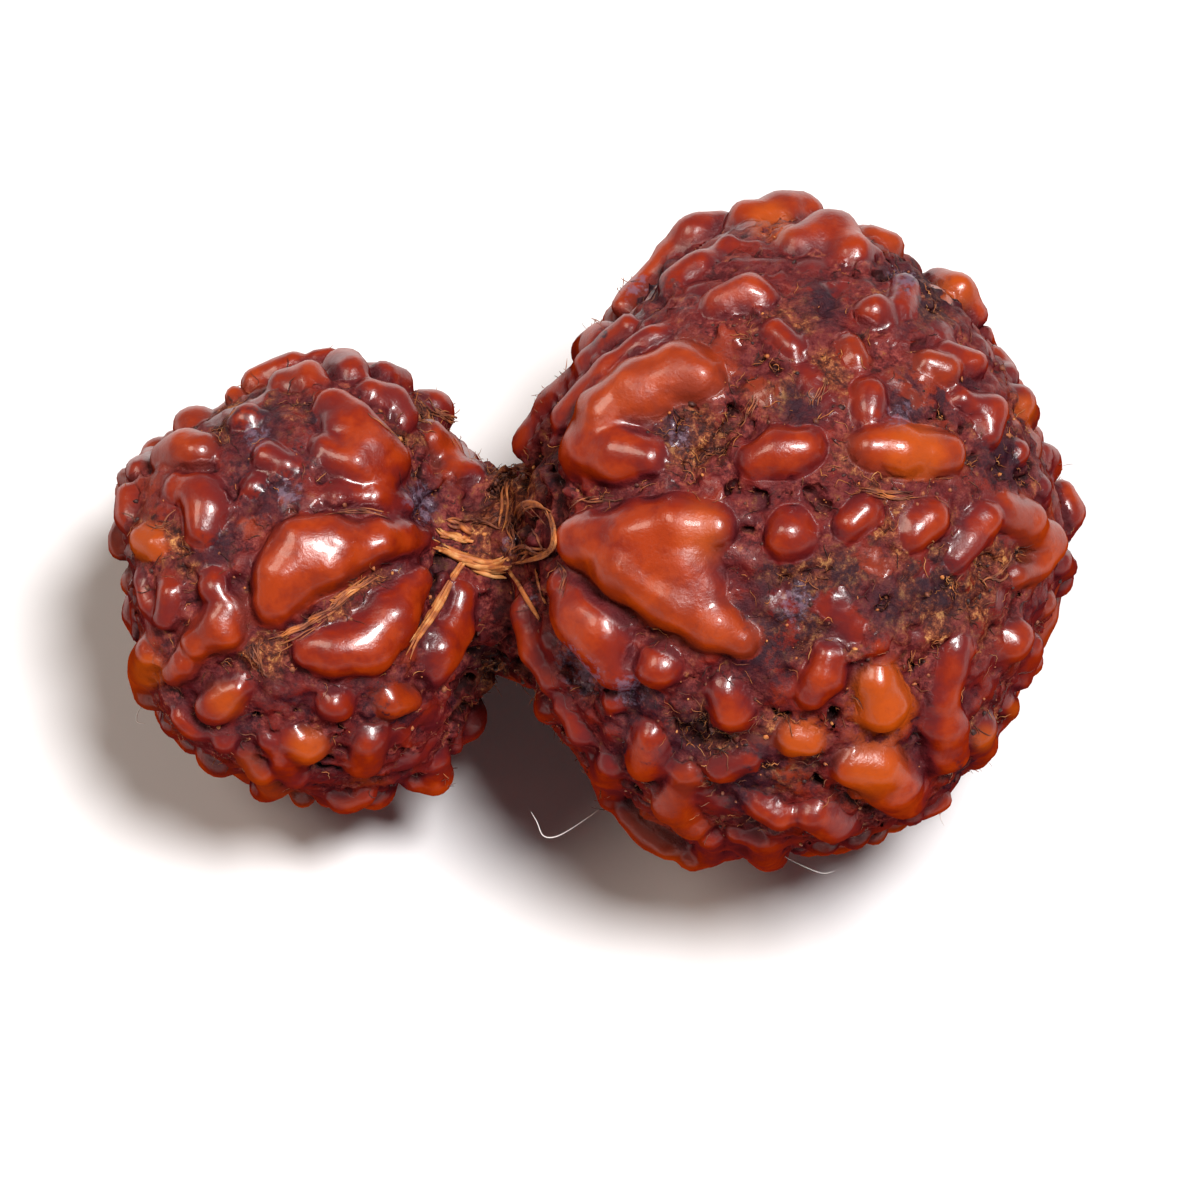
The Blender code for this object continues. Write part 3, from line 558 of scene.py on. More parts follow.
# places on the seen side as (x, y, size)
BRIGHT_PLACES = (
    (9.1, -5.2, 1.0), (6.5, -6.4, 0.7), (8.8, -7.4, 1.2), (-14.85, -0.15, 0.6), (13.8, 4.2, 0.6),
    (11.8, 8.3, 0.9), (5.6, 10.4, 0.7), (-12.3, -5.3, 0.8), (-14.9, -4.4, 0.5), (-9.6, -6.8, 0.7),
    (13.6, -5.6, 0.4), (12.5, -6.5, 0.5), (3.2, 0.3, 1.0), (10.0, 2.7, 0.8),
)
SHEEN_PLACES = (  # broad pale gloss over fine ripples
    (2.9, -1.3, 1.0), (3.0, 0.3, 0.7), (2.7, 4.9, 1.0), (1.2, 4.7, 0.8), (4.3, 7.8, 0.8),
    (3.8, -2.8, 0.7), (6.9, 9.5, 0.9), (-7.6, 3.0, 0.7), (12.0, -0.1, 0.6), (-0.9, -2.6, 0.6),
)
LITTER_PLACES = (
    (2.9, 3.2, 1.2), (6.4, 5.6, 2.0), (7.0, -2.0, 2.2), (11.0, -2.1, 2.0), (10.8, 8.0, 1.2),
    (4.5, -6.8, 2.2), (13.0, -0.5, 0.9), (-12.0, 4.0, 1.3), (-14.3, 0.1, 1.2), (-8.2, -1.8, 1.4),
    (-11.2, -4.0, 1.1), (-3.4, 0.2, 1.2), (9.5, 1.4, 2.4), (13.2, 3.4, 1.3), (12.8, -6.9, 1.4),
    (-2.9, 1.8, 1.0), (-3.4, -4.6, 0.9), (-10.6, 4.4, 1.2), (-13.2, -0.4, 1.1), (-6.0, 4.0, 0.9),
)
# hollows where dark violet shade is painted on the floor
VIOLET_SHADE_PLACES = (
    (6.3, -2.2, 1.3), (2.4, 3.4, 0.7), (-11.4, 3.9, 1.0), (-10.9, 2.0, 1.3), (-6.0, 1.3, 0.8),
    (1.3, 8.6, 1.2), (10.4, 8.0, 1.3), (9.8, 4.2, 0.8), (9.2, -2.2, 0.9), (6.3, 4.2, 0.8),
    (5.3, -3.4, 1.4), (10.7, -1.6, 1.1), (13.0, 2.5, 1.0), (1.2, -5.2, 1.0), (11.4, 4.6, 0.8),
    (-6.9, -5.6, 0.9), (1.2, -7.0, 0.8), (4.8, -7.6, 1.2), (7.8, -1.2, 0.8), (3.0, -6.2, 1.0),
    (12.0, -7.8, 0.8), (-12.5, 0.0, 0.8), (-9.2, 4.2, 0.7), (7.2, 7.6, 0.8), (0.3, 6.6, 0.6),
)

PAINTED_GLEAM_PLACES = (  # a painted pale violet gleam that stands in for a reflection; these places are also made glossier
    (-6.0, 1.45, 0.5), (-5.8, 0.9, 0.45), (-2.9, -0.15, 0.4), (-2.2, -2.0, 0.35), (6.2, -2.1, 0.7),
    (2.5, 3.3, 0.5), (-0.5, -4.5, 0.7), (0.9, -4.9, 0.6), (-1.0, -3.8, 0.5), (-11.3, 3.4, 0.5),
    (9.9, 8.4, 0.6), (1.2, 8.4, 0.5), (9.6, 3.9, 0.5), (-10.2, 1.5, 0.5),
)

PLACES = {
    "litter": LITTER_PLACES,
    "sheen": SHEEN_PLACES,
    "painted_gleam": PAINTED_GLEAM_PLACES,
    "painted_violet_shade": VIOLET_SHADE_PLACES,
}

# colours of the surface, in linear light
MAROON = (0.095, 0.009, 0.012)
DEEP_RED = (0.16, 0.012, 0.010)
RED_BROWN = (0.25, 0.017, 0.003)
CHESTNUT = (0.36, 0.034, 0.003)
ORANGE = (0.56, 0.092, 0.004)
DARK_RED = (0.055, 0.006, 0.008)
PULP_RED = (0.17, 0.022, 0.022)
ROSE_BROWN = (0.28, 0.055, 0.045)
DARK_BROWN = (0.028, 0.007, 0.007)
UMBER = (0.08, 0.018, 0.012)
RUST = (0.18, 0.040, 0.018)
OCHRE = (0.30, 0.085, 0.035)
PALE_OCHRE = (0.66, 0.30, 0.10)
FIBRE_ORANGE = (0.52, 0.155, 0.035)
# dark violet: painted shade in the listed hollows, and random dark patches over the floor
DUSKY = (0.029, 0.010, 0.018)
# the colour of the painted gleam
PALE_VIOLET = (0.20, 0.13, 0.19)
FLOOR_COLOUR = (0.86, 0.85, 0.86)

LENS = 200.0
SENSOR = 36.0
FRAME_WIDTH = 40.0  # the width of the picture, at the object, in millimetres
FRAME_CENTRE = (0.0, -2.0, 0.0)
CLIP = (0.001, 10)
FLOOR_SIZE = 1.2
FLOOR_DROP = 2e-5  # keeps the floor from sharing its place with the flat spots
WORLD_RAMP = (0.3, 0.75, 0.14, 0.03)  # heights between which the pale ring fades, strengths there
# a light: its direction in the view, distance, size, power and colour
KEY = ((0.26, 0.30, 1.0), 0.5, 0.14, 3.4, (1.0, 0.98, 0.97))
FILL = ((-0.6, 0.4, 0.8), 0.5, 0.22, 0.8, (1.0, 0.86, 0.72))

FILLER_RADIUS = 0.45  # strewn lobes up to this size are duller than the others
OPENNESS_HEIGHTS = (0.4, 0.8, 1.3)
CELL = 0.14  # size of the cells that the skin is drawn with
MOST_TRIANGLES = 196_000
SPARE = 1.6  # the grid reaches this far past the lobes
LOBE_BLEND = 0.28  # how far neighbouring lobes run into each other
ROOT_BLEND = 0.36  # how far a lobe's foot spreads over the crevice floor
SKIRT_REACH = 0.42  # a lobe's foot is this much wider than its crown
SKIRT_HEIGHT = 0.3
SKIRT_BLEND = 0.4
FLOOR_LUMPS = ((1.9, 0.20), (0.95, 0.24))  # wavelength, height of rounded lumps
DEEPEST = 0.3  # the creases between the lumps go this far below the smooth floor
DEEPEST_BLEND = 0.2
FLOOR_ROUGHNESS = ((0.5, 0.07), (0.32, 0.06))
LOBE_WAVINESS = ((1.7, 0.06), (0.8, 0.02))
NOISE_SEED = 3
SWELLING_MARGIN = 0.9  # a lobe is worked out this far past its own radius
FAR_FROM_LOBES = 2.0
SETTLE_ROUNDS = 3
EASED_STEPS = (-2, -1, 0, 1, 2)
RANGE_SOCKETS = ("From Min", "From Max", "To Min", "To Max")


class Grid:
    """Points in rows, CELL apart, that fill a box."""

    def __init__(self, low, high):
        self.low = np.array(low, np.float64)
        self.shape = tuple(int(math.ceil((b - a) / CELL)) + 1 for a, b in zip(low, high))

    def lines(self, start=(0, 0, 0), stop=None):
        """The X, Y and Z of a block of the points, shaped to broadcast against each other."""
        stop = stop or self.shape
        lines = []
        for k in range(3):
            line = self.low[k] + CELL * np.arange(start[k], stop[k])
            lines.append(line.reshape([-1 if k == j else 1 for j in range(3)]).astype(np.float32))
        return lines

    def block(self, low, high):
        """(start, stop) of the points that lie in a box, cut to the grid."""
        start = [max(int((low[k] - self.low[k]) / CELL), 0) for k in range(3)]
        stop = [min(int((high[k] - self.low[k]) / CELL) + 2, self.shape[k]) for k in range(3)]
        return start, stop

    def sample(self, values, points):
        """Values at any points, straight between the grid's own."""
        where = (points - self.low) / CELL
        where = np.clip(where, 0, np.array(self.shape) - 1.001)
        base = where.astype(int)
        share = where - base
        total = 0
        for corner in np.ndindex(2, 2, 2):
            weight = np.prod(np.where(corner, share, 1 - share), axis=1)
            i, j, k = (base + corner).T
            total = total + weight * values[i, j, k]
        return total


def blend_least(a, b, blend):
    """The smaller of two fields, rounded where they are within blend of each other."""
    overlap = np.maximum(blend - np.abs(a - b), 0)
    return np.minimum(a, b) - overlap * overlap / (4 * blend)


def spline_weights(fine, coarse):
    """A matrix that spreads a coarse row of values smoothly over a fine row."""
    where = np.linspace(1, coarse - 2.001, fine)
    base = where.astype(int)
    t = where - base
    weights = np.zeros((fine, coarse), np.float32)
    cubic = (
        (1 - t) ** 3 / 6,
        (3 * t**3 - 6 * t**2 + 4) / 6,
        (-3 * t**3 + 3 * t**2 + 3 * t + 1) / 6,
        t**3 / 6,
    )
    for k, weight in enumerate(cubic):
        weights[np.arange(fine), np.clip(base + k - 1, 0, coarse - 1)] += weight
    return weights


def noise_field(grid, wavelength, height, draw):
    """Smooth random values over a grid, about plus or minus a height."""
    coarse = [max(int(n * CELL / wavelength * 2) + 4, 5) for n in grid.shape]
    values = draw.standard_normal(coarse).astype(np.float32)
    for k in range(3):
        values = np.ascontiguousarray(np.moveaxis(values, 0, -1))
        values = values @ spline_weights(grid.shape[k], coarse[k]).T
    return values * np.float32(height / values.std())


def stone_field(lines, stone):
    """stone_distance over a grid."""
    offset = [line - at for line, at in zip(lines, stone.centre)]
    along = sum(part * side for part, side in zip(offset, stone.axis))
    across = np.sqrt(np.maximum(sum(part * part for part in offset) - along * along, 0))
    power = stone.squareness
    lengthwise = np.abs(along) / stone.polar
    sideways = across / stone.equator
    reach = np.maximum(lengthwise**power + sideways**power, 1e-9) ** (1 / power)
    slope = np.hypot(
        (lengthwise / reach) ** (power - 1) / stone.polar,
        (sideways / reach) ** (power - 1) / stone.equator,
    )
    gap = (reach - 1) / slope
    for turn, distance in stone.flats:
        turn = math.radians(turn)
        flat = offset[0] * math.cos(turn) + offset[1] * math.sin(turn) - distance
        gap = -blend_least(-gap, -flat, FLAT_BLEND)
    return gap


def cone_field(points, first, second, radii):
    """Distance to a cone with round ends from points given as their X, Y and Z."""
    side = second - first
    offset = [part - at for part, at in zip(points, first)]
    along = sum(part * step for part, step in zip(offset, side))
    share = np.clip(along / max(side.length_squared, 1e-9), 0, 1)
    gap = sum((part - share * step) ** 2 for part, step in zip(offset, side))
    return np.sqrt(gap) - radii[0] - share * (radii[1] - radii[0])


def floor_field(grid):
    """Distance to the smooth crevice floor, as floor_distance gives it, over a grid."""
    lines = grid.lines()
    (start, r_start), (waist, r_waist), (end, r_end) = NECK
    small = blend_least(
        stone_field(lines, SMALL), cone_field(lines, start, waist, (r_start, r_waist)), FLARE
    )
    large = blend_least(
        stone_field(lines, LARGE), cone_field(lines, waist, end, (r_waist, r_end)), FLARE
    )
    return blend_least(small, large, FLARE)


def slopes(values):
    """The direction in which a field grows, of length one, over its grid."""
    slope = np.stack(np.gradient(values))
    return slope / np.maximum(np.sqrt((slope * slope).sum(0)), 1e-6)


def add_swelling(grid, floor, rise, lobes, owner, number, first, second):
    """Raises the part of a lobe between two swellings, each a (centre, radius), from the floor."""
    (c1, r1), (c2, r2) = first, second
    reach = max(r1, r2) + SWELLING_MARGIN
    low = [min(a, b) - reach for a, b in zip(c1, c2)]
    high = [max(a, b) + reach for a, b in zip(c1, c2)]
    start, stop = grid.block(low, high)
    part = tuple(slice(a, b) for a, b in zip(start, stop))
    level = min(floor_distance(c1), floor_distance(c2))
    sunk = np.maximum(level - floor[part], 0)
    lines = grid.lines(start, stop)
    raised = [line + sunk * up for line, up in zip(lines, rise[(slice(None), *part)])]
    gap = cone_field(raised, c1, c2, (r1, r2))
    owner[part] = np.where(gap < lobes[part], number, owner[part])
    lobes[part] = blend_least(lobes[part], gap, LOBE_BLEND)


def raise_lobes(grid, floor, rise, places):
    """(distance to the lobes, number of the nearest lobe) over a grid."""
    lobes = np.full(grid.shape, FAR_FROM_LOBES, np.float32)
    owner = np.zeros(grid.shape, np.int16)
    for number, lobe in enumerate(places):
        for first, second in zip(lobe, lobe[1:] or lobe):
            add_swelling(grid, floor, rise, lobes, owner, number, first, second)
    return lobes, owner


def net_vertices(field, grid):
    """(points, number of each cell's point) where the cells of a grid cross the skin."""
    inside = field < 0
    corners = list(np.ndindex(2, 2, 2))
    spans = [tuple(slice(c, c + n - 1) for c, n in zip(corner, grid.shape)) for corner in corners]
    count = sum(inside[span].astype(np.int8) for span in spans)
    cells = np.argwhere((count > 0) & (count < 8))
    values = np.stack([field[tuple((cells + corner).T)] for corner in corners], axis=1)
    total = np.zeros((len(cells), 3))
    crossings = np.zeros(len(cells))
    for a, b in ((a, b) for a in range(8) for b in range(a + 1, 8)):
        step = np.subtract(corners[b], corners[a])
        if np.abs(step).sum() != 1:
            continue
        crossed = (values[:, a] < 0) != (values[:, b] < 0)
        share = np.where(crossed, values[:, a] / np.where(crossed, values[:, a] - values[:, b], 1), 0)
        total += crossed[:, None] * (corners[a] + share[:, None] * step)
        crossings += crossed
    numbers = np.full([n - 1 for n in grid.shape], -1, np.int32)
    numbers[tuple(cells.T)] = np.arange(len(cells))
    return grid.low + CELL * (cells + total / crossings[:, None]), numbers


def net_faces(field, numbers):
    """Four-sided faces, one round each of the grid's edges that cross the skin."""
    inside = field < 0
    faces = []
    for k in range(3):
        here = np.moveaxis(inside, k, 0)
        cells = np.moveaxis(numbers, k, 0)
        crossed = here[:-1, 1:-1, 1:-1] != here[1:, 1:-1, 1:-1]
        i, u, v = np.nonzero(crossed)
        ring = [cells[i, u, v], cells[i, u + 1, v], cells[i, u + 1, v + 1], cells[i, u, v + 1]]
        quads = np.stack(ring, axis=1)
        outward = here[:-1, 1:-1, 1:-1][i, u, v] != (k == 1)
        quads[~outward] = quads[~outward][:, ::-1]
        faces.append(quads)
    return np.concatenate(faces)


def mesh_of(name, points, faces):
    """A mesh from arrays of points and of faces that all have the same number of corners."""
    mesh = bpy.data.meshes.new(name)
    mesh.vertices.add(len(points))
    mesh.vertices.foreach_set("co", np.ravel(points).astype(np.float32))
    mesh.loops.add(faces.size)
    mesh.loops.foreach_set("vertex_index", np.ravel(faces).astype(np.int32))
    mesh.polygons.add(len(faces))
    mesh.polygons.foreach_set("loop_start", np.arange(0, faces.size, faces.shape[1], dtype=np.int32))
    mesh.update(calc_edges=True)
    mesh.validate()
    return mesh


def lies_at(lobes):
    """The move from the modelling frame, in millimetres, to the way the object lies, in metres."""
    turn = lies_to_view().inverted()
    middle = box_centre(lobes, turn)
    ground = (turn @ lobes[0][0][0]).z - FOOT_RADIUS + SPOT_DEPTH
    drop = Matrix.Translation((-middle.x, -middle.y, -ground))
    return Matrix.Scale(1 / MILLIMETRES, 4) @ drop @ turn.to_4x4()


def moved(points, matrix):
    """Points, an array, moved by a matrix."""
    matrix = np.array(matrix)
    return points @ matrix[:3, :3].T + matrix[:3, 3]


def eased(values):
    """Values on a grid, each the mean of its neighbourhood."""
    values = values.astype(np.float32)
    for axis in range(3):
        near = [np.roll(values, step, axis) for step in EASED_STEPS]
        values = sum(near) / len(near)
    return values


class Skin:
    """The distance fields of the whole object on one grid."""

    def __init__(self):
        self.places = all_lobes()
        self.lies_at = lies_at(self.places)
        centres = np.array([centre for lobe in self.places for centre, _ in lobe])
        self.grid = Grid(centres.min(0) - SPARE, centres.max(0) + SPARE)
        draw = np.random.default_rng(NOISE_SEED)
        floor = floor_field(self.grid)
        self.rise = slopes(floor)
        lobes, self.owner = raise_lobes(self.grid, floor, self.rise, self.places)
        for wavelength, height in LOBE_WAVINESS:
            lobes += noise_field(self.grid, wavelength, height, draw)
        self.floor, self.lobes = floor.copy(), lobes
        skirt = np.maximum(lobes - SKIRT_REACH, floor - SKIRT_HEIGHT)
        rough = floor
        for wavelength, height in FLOOR_LUMPS:
            rough = rough + height - np.abs(noise_field(self.grid, wavelength, height, draw))
        rough = blend_least(rough, floor + DEEPEST, DEEPEST_BLEND)
        rough = blend_least(rough, skirt, SKIRT_BLEND)
        for wavelength, height in FLOOR_ROUGHNESS:
            rough += noise_field(self.grid, wavelength, height, draw)
        self.field = blend_least(rough, lobes, ROOT_BLEND)
        self.slope = np.stack(np.gradient(self.field, CELL)).astype(np.float32)
        tints = np.random.default_rng(TINT_SEED).uniform(0, 1, len(self.places))
        self.tint = eased(tints[self.owner])
        listed = len(feet()) + len(LARGE_LOBES) + len(SMALL_LOBES)
        leading = [
            number < listed or lobe[0][1] > FILLER_RADIUS for number, lobe in enumerate(self.places)
        ]
        self.leading = eased(np.array(leading)[self.owner])

    def out(self, points):
        """Directions out of the skin at some points, of length one."""
        out = np.stack([self.grid.sample(part, points) for part in self.slope], axis=1)
        return out / np.maximum(np.linalg.norm(out, axis=1, keepdims=True), 1e-6)

    def settle(self, points, height=0.0):
        """Points moved straight to a height above the skin."""
        for _ in range(SETTLE_ROUNDS):
            gap = self.grid.sample(self.field, points) - height
            points = points - self.out(points) * gap[:, None]
        return points

    def openness(self, points):
        """1 where nothing rises near a point, less in a narrow crevice."""
        out = self.out(points)
        shares = []
        for height in OPENNESS_HEIGHTS:
            shares.append(self.grid.sample(self.field, points + height * out) / height)
        return np.clip(np.mean(shares, axis=0), 0, 1)

    def seen_at(self, x, y):
        """The points where the skin is first met below some places of the view, or nearly met."""
        z = self.grid.low[2] + CELL * np.arange(self.grid.shape[2] - 1, 0, -1.0)
        line = np.empty((len(x), len(z), 3))
        line[..., 0] = x[:, None]
        line[..., 1] = y[:, None]
        line[..., 2] = z
        gaps = self.grid.sample(self.field, line.reshape(-1, 3)).reshape(len(x), -1)
        met = gaps < 0
        first = np.where(met.any(1), met.argmax(1), gaps.argmin(1))
        return line[np.arange(len(x)), first]


def own(name, mesh, material):
    """A piece that belongs to the stone, made from a mesh in metres."""
    piece = bpy.data.objects.new(name, mesh)
    bpy.context.scene.collection.objects.link(piece)
    mesh.materials.append(material)
    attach(piece, "root")
    return piece


def give_values(mesh, name, values):
    """Stores a number for each point of a mesh, for its material to read."""
    mesh.attributes.new(name, "FLOAT", "POINT").data.foreach_set("value", values.astype(np.float32))


def laid(skin, name, mesh, material):
    """A smooth piece made from a mesh in the modelling frame."""
    mesh.shade_smooth()
    mesh.transform(skin.lies_at)
    return own(name, mesh, material)


def places_of(mesh):
    points = np.empty(len(mesh.vertices) * 3, np.float32)
    mesh.vertices.foreach_get("co", points)
    return points.reshape(-1, 3).astype(np.float64)


def thinned(mesh, most):
    """The mesh in triangles, with fewer of them where it is flat."""
    piece = bpy.data.objects.new("thinned", mesh)
    bpy.context.scene.collection.objects.link(piece)
    piece.modifiers.new("Triangles", "TRIANGULATE")
    thin = piece.modifiers.new("Thin", "DECIMATE")
    thin.ratio = most / (2 * len(mesh.polygons))
    graph = bpy.context.evaluated_depsgraph_get()
    result = bpy.data.meshes.new_from_object(piece.evaluated_get(graph))
    bpy.data.objects.remove(piece)
    return result


def nearness(points, places):
    """1 at and close to any of some (x, y, size) places of the seen side, and 0 away from them."""
    best = np.zeros(len(points))
    for x, y, size in places:
        gap = np.hypot(points[:, 0] - x, points[:, 1] - y) / size
        best = np.maximum(best, np.clip(NEAR_REACH - gap, 0, 1))
    return best * (points[:, 2] > SEEN_ABOVE)


def skin_piece(skin):
    """The whole stone: its lobes and the crevice floor between them."""
    points, numbers = net_vertices(skin.field, skin.grid)
    mesh = thinned(mesh_of("rudraksha_skin", points, net_faces(skin.field, numbers)), MOST_TRIANGLES)
    points = places_of(mesh)
    sample = skin.grid.sample
    lift = sample(skin.floor, points)
    apart = sample(skin.lobes, points)
    bright = nearness(points, BRIGHT_PLACES)
    tint = sample(skin.tint, points) * TINT_SHARE + BRIGHT_SHARE * bright
    give_values(mesh, "main", sample(skin.leading, points))
    give_values(mesh, "lift", lift)
    give_values(mesh, "apart", apart)
    give_values(mesh, "open", skin.openness(points))
    give_values(mesh, "tint", np.clip(tint, 0, MOST_TINT))
    for name, places in PLACES.items():
        give_values(mesh, name, nearness(points, places))
    mesh.shade_smooth()
    turn = np.array(skin.lies_at.to_3x3().normalized())
    normals = skin.out(points) @ turn.T
    give_values(mesh, "up", normals[:, 2])
    mesh.transform(skin.lies_at)
    low = places_of(mesh)
    low[:, 2] = np.maximum(low[:, 2], 0)
    mesh.vertices.foreach_set("co", np.ravel(low).astype(np.float32))
    mesh.normals_split_custom_set_from_vertices(normals)
    piece = own("rudraksha_skin", mesh, skin_material())
    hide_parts("rudraksha")
    return piece


def strands(skin, starts, headings, draw, steps, step, wander, height):
    """Paths that creep over the skin, an array of (strand, point, place)."""
    at = skin.settle(starts, height)
    path = [at]
    for _ in range(steps):
        headings = headings + draw.normal(0, wander, headings.shape)
        out = skin.out(at)
        headings -= out * (headings * out).sum(1, keepdims=True)
        headings /= np.maximum(np.linalg.norm(headings, axis=1, keepdims=True), 1e-6)
        at = skin.settle(at + headings * step, height + draw.uniform(0, FIBRE_CLEARANCE, 1)[0])
        path.append(at)
    return np.stack(path, axis=1)


def tubes(name, paths, radius, outs, sides=THIN_SIDES, flatness=THIN_FLATNESS):
    """One mesh of tapered tubes along paths of (tube, point, place), flat towards outs."""
    count, length, _ = paths.shape
    along = np.gradient(paths, axis=1)
    along /= np.maximum(np.linalg.norm(along, axis=2, keepdims=True), 1e-9)
    side = np.cross(along, outs)
    side /= np.maximum(np.linalg.norm(side, axis=2, keepdims=True), 1e-9)
    up = np.cross(side, along)
    taper = np.sin(np.pi * np.linspace(*TAPER_ENDS, length)) ** 0.5
    size = (radius[:, None] * taper[None, :])[..., None]
    rings = []
    for k in range(sides):
        turn = 2 * math.pi * k / sides
        rings.append(paths + size * (math.cos(turn) * side + flatness * math.sin(turn) * up))
    points = np.stack(rings, axis=2).reshape(-1, 3)
    base = np.arange(count)[:, None, None] * length * sides
    ring = np.arange(length - 1)[None, :, None] * sides
    k = np.arange(sides)[None, None, :]
    a = base + ring + k
    b = base + ring + (k + 1) % sides
    walls = np.stack([a, b, b + sides, a + sides], axis=-1).reshape(-1, 4)
    triangles = np.concatenate([walls[:, [0, 1, 2]], walls[:, [0, 2, 3]]])
    caps = []
    for k in range(1, sides - 1):
        first = np.arange(count) * length * sides
        last = first + (length - 1) * sides
        caps.append(np.stack([first, first + k + 1, first + k], axis=1))
        caps.append(np.stack([last, last + k, last + k + 1], axis=1))
    return mesh_of(name, points, np.concatenate([triangles, *caps]))


def crevice_points(skin, count, draw):
    """Random places in the crevices, more of them where dried pulp has stayed."""
    points, _ = net_vertices(skin.field, skin.grid)
    sample = skin.grid.sample
    low = np.clip(CREVICE_OPENNESS - skin.openness(points), 0, 1) ** 2
    above_ground = moved(points, skin.lies_at)[:, 2] > CLEAR_OF_GROUND
    odds = low * (sample(skin.lobes, points) > BARE_LOBE) * above_ground
    odds *= 1 + LITTER_ODDS * nearness(points, LITTER_PLACES)
    return points[draw.choice(len(points), count, p=odds / odds.sum())]


def fibre_piece(skin):
    """Short fibres of dried pulp that lie in the crevices."""
    draw = np.random.default_rng(FIBRE_SEED)
    starts = crevice_points(skin, FIBRES, draw)
    headings = draw.normal(0, 1, starts.shape)
    step = draw.uniform(*FIBRE_STEP, (FIBRES, 1))
    paths = strands(skin, starts, headings, draw, FIBRE_STEPS, step, FIBRE_WANDER, FIBRE_HEIGHT)
    outs = np.stack([skin.out(paths[:, k]) for k in range(paths.shape[1])], axis=1)
    radius = draw.uniform(*FIBRE_RADII, FIBRES)
    mesh = tubes("crevice_fibres", paths, radius, outs)
    give_values(mesh, "shade", np.repeat(draw.uniform(0, 1, FIBRES), paths.shape[1] * THIN_SIDES))
    return laid(skin, "crevice_fibres", mesh, fibre_material())


def curve_through(places, count):
    """Points spread along a smooth curve through a few places."""
    places = np.array(places, float)
    ends = np.vstack([2 * places[0] - places[1], places, 2 * places[-1] - places[-2]])
    at = np.linspace(0, len(places) - 1.0001, count)
    base = at.astype(int)
    t = (at - base)[:, None]
    a, b, c, d = (ends[base + k] for k in range(4))
    return 0.5 * (2 * b + (c - a) * t + (2 * a - 5 * b + 4 * c - d) * t**2 + (3 * b - a - 3 * c + d) * t**3)


def evened(paths):
    """Paths with every point but the ends drawn to the middle of its neighbours."""
    paths[:, 1:-1] = (paths[:, :-2] + 2 * paths[:, 1:-1] + paths[:, 2:]) / 4
    return paths


def bundle(skin, places, strand_count, spread, taut, draw):
    """Strands that run side by side along a route of (x, y) places, on the skin or taut above it."""
    line = curve_through(places, ROUTE_POINTS)
    length = draw.uniform(*(CORD_LENGTHS if taut else LOOSE_LENGTHS), (strand_count, 1))
    start = draw.uniform(0.0, 1 - length)
    share = start + np.linspace(0, 1, STRAND_POINTS) * length
    even = np.linspace(0, 1, ROUTE_POINTS)
    flat = np.stack([np.interp(share, even, line[:, k]) for k in range(2)], axis=-1)
    waves = [sway * np.sin(turns * math.pi * share) for sway, turns in BENDS]
    bends = np.stack([1 - share, share, *waves])
    shifts = draw.normal(0, spread, (4, strand_count, 1, 2))
    flat = (flat + (bends[..., None] * shifts).sum(0)).reshape(-1, 2)
    points = skin.seen_at(flat[:, 0], flat[:, 1])
    heights = np.repeat(draw.uniform(0.01, 0.04 + 0.6 * spread, strand_count), STRAND_POINTS)
    points = points + skin.out(points) * (heights - skin.grid.sample(skin.field, points))[:, None]
    paths = points.reshape(strand_count, STRAND_POINTS, 3)
    lowest = paths[..., 2].copy()
    if not taut:
        jumps = np.abs(np.diff(lowest, axis=1)).max(1)
        paths = paths[jumps < STRAND_JUMP]
    for _ in range(CORD_EASING if taut else LOOSE_EASING):
        paths = evened(paths)
    if taut:
        paths[..., 2] = np.maximum(paths[..., 2], lowest)
        paths = evened(paths)
    return paths


def strand_piece(skin):
    """The torn cords and strands of pulp that can be told apart, most of them on the neck."""
    draw = np.random.default_rng(STRAND_SEED)
    paths, shades, sizes = [], [], []
    for rows, taut in ((CORDS, True), (STRANDS, False)):
        for places, count, spread, shade, thickness in rows:
            made = bundle(skin, places, count, spread, taut, draw)
            paths.append(made)
            shades.append(draw.normal(shade, SHADE_SPREAD, len(made)))
            least = CORD_LEAST_WIDTH if taut else LOOSE_LEAST_WIDTH
            sizes.append(thickness * draw.uniform(least, 1, len(made)))
    paths = np.concatenate(paths)
    outs = np.stack([skin.out(paths[:, k]) for k in range(STRAND_POINTS)], axis=1)
    sizes = np.concatenate(sizes)
    mesh = tubes("pulp_strands", paths, sizes, outs, STRAND_SIDES, STRAND_FLATNESS)
    shades = np.clip(np.concatenate(shades), 0, 1)
    give_values(mesh, "shade", np.repeat(shades, STRAND_POINTS * STRAND_SIDES))
    return laid(skin, "pulp_strands", mesh, fibre_material())


def crumb_piece(skin):
    """Crumbs of dried pulp, each a squashed and turned ball with its points shifted."""
    draw = np.random.default_rng(CRUMB_SEED)
    at = crevice_points(skin, CRUMBS, draw)
    ball = bmesh.new()
    bmesh.ops.create_icosphere(ball, subdivisions=1, radius=1)
    corners = np.array([corner.co for corner in ball.verts])
    faces = np.array([[corner.index for corner in face.verts] for face in ball.faces])
    ball.free()
    turns = np.linalg.qr(draw.normal(0, 1, (CRUMBS, 3, 3)))[0]
    shapes = corners[None] * draw.uniform(*CRUMB_SQUASH, (CRUMBS, 1, 3))
    shapes = shapes * draw.uniform(*CRUMB_SHIFT, (CRUMBS, len(corners), 1))
    least, more, rarity = CRUMB_SIZE
    sizes = least + more * draw.uniform(0, 1, (CRUMBS, 1, 1)) ** rarity
    points = at[:, None] + (shapes * sizes) @ turns
    faces = faces[None] + len(corners) * np.arange(CRUMBS)[:, None, None]
    mesh = mesh_of("pulp_crumbs", points.reshape(-1, 3), faces.reshape(-1, 3))
    give_values(mesh, "shade", np.repeat(draw.uniform(0, 0.95, CRUMBS), len(corners)))
    mesh.transform(skin.lies_at)
    return own("pulp_crumbs", mesh, fibre_material())


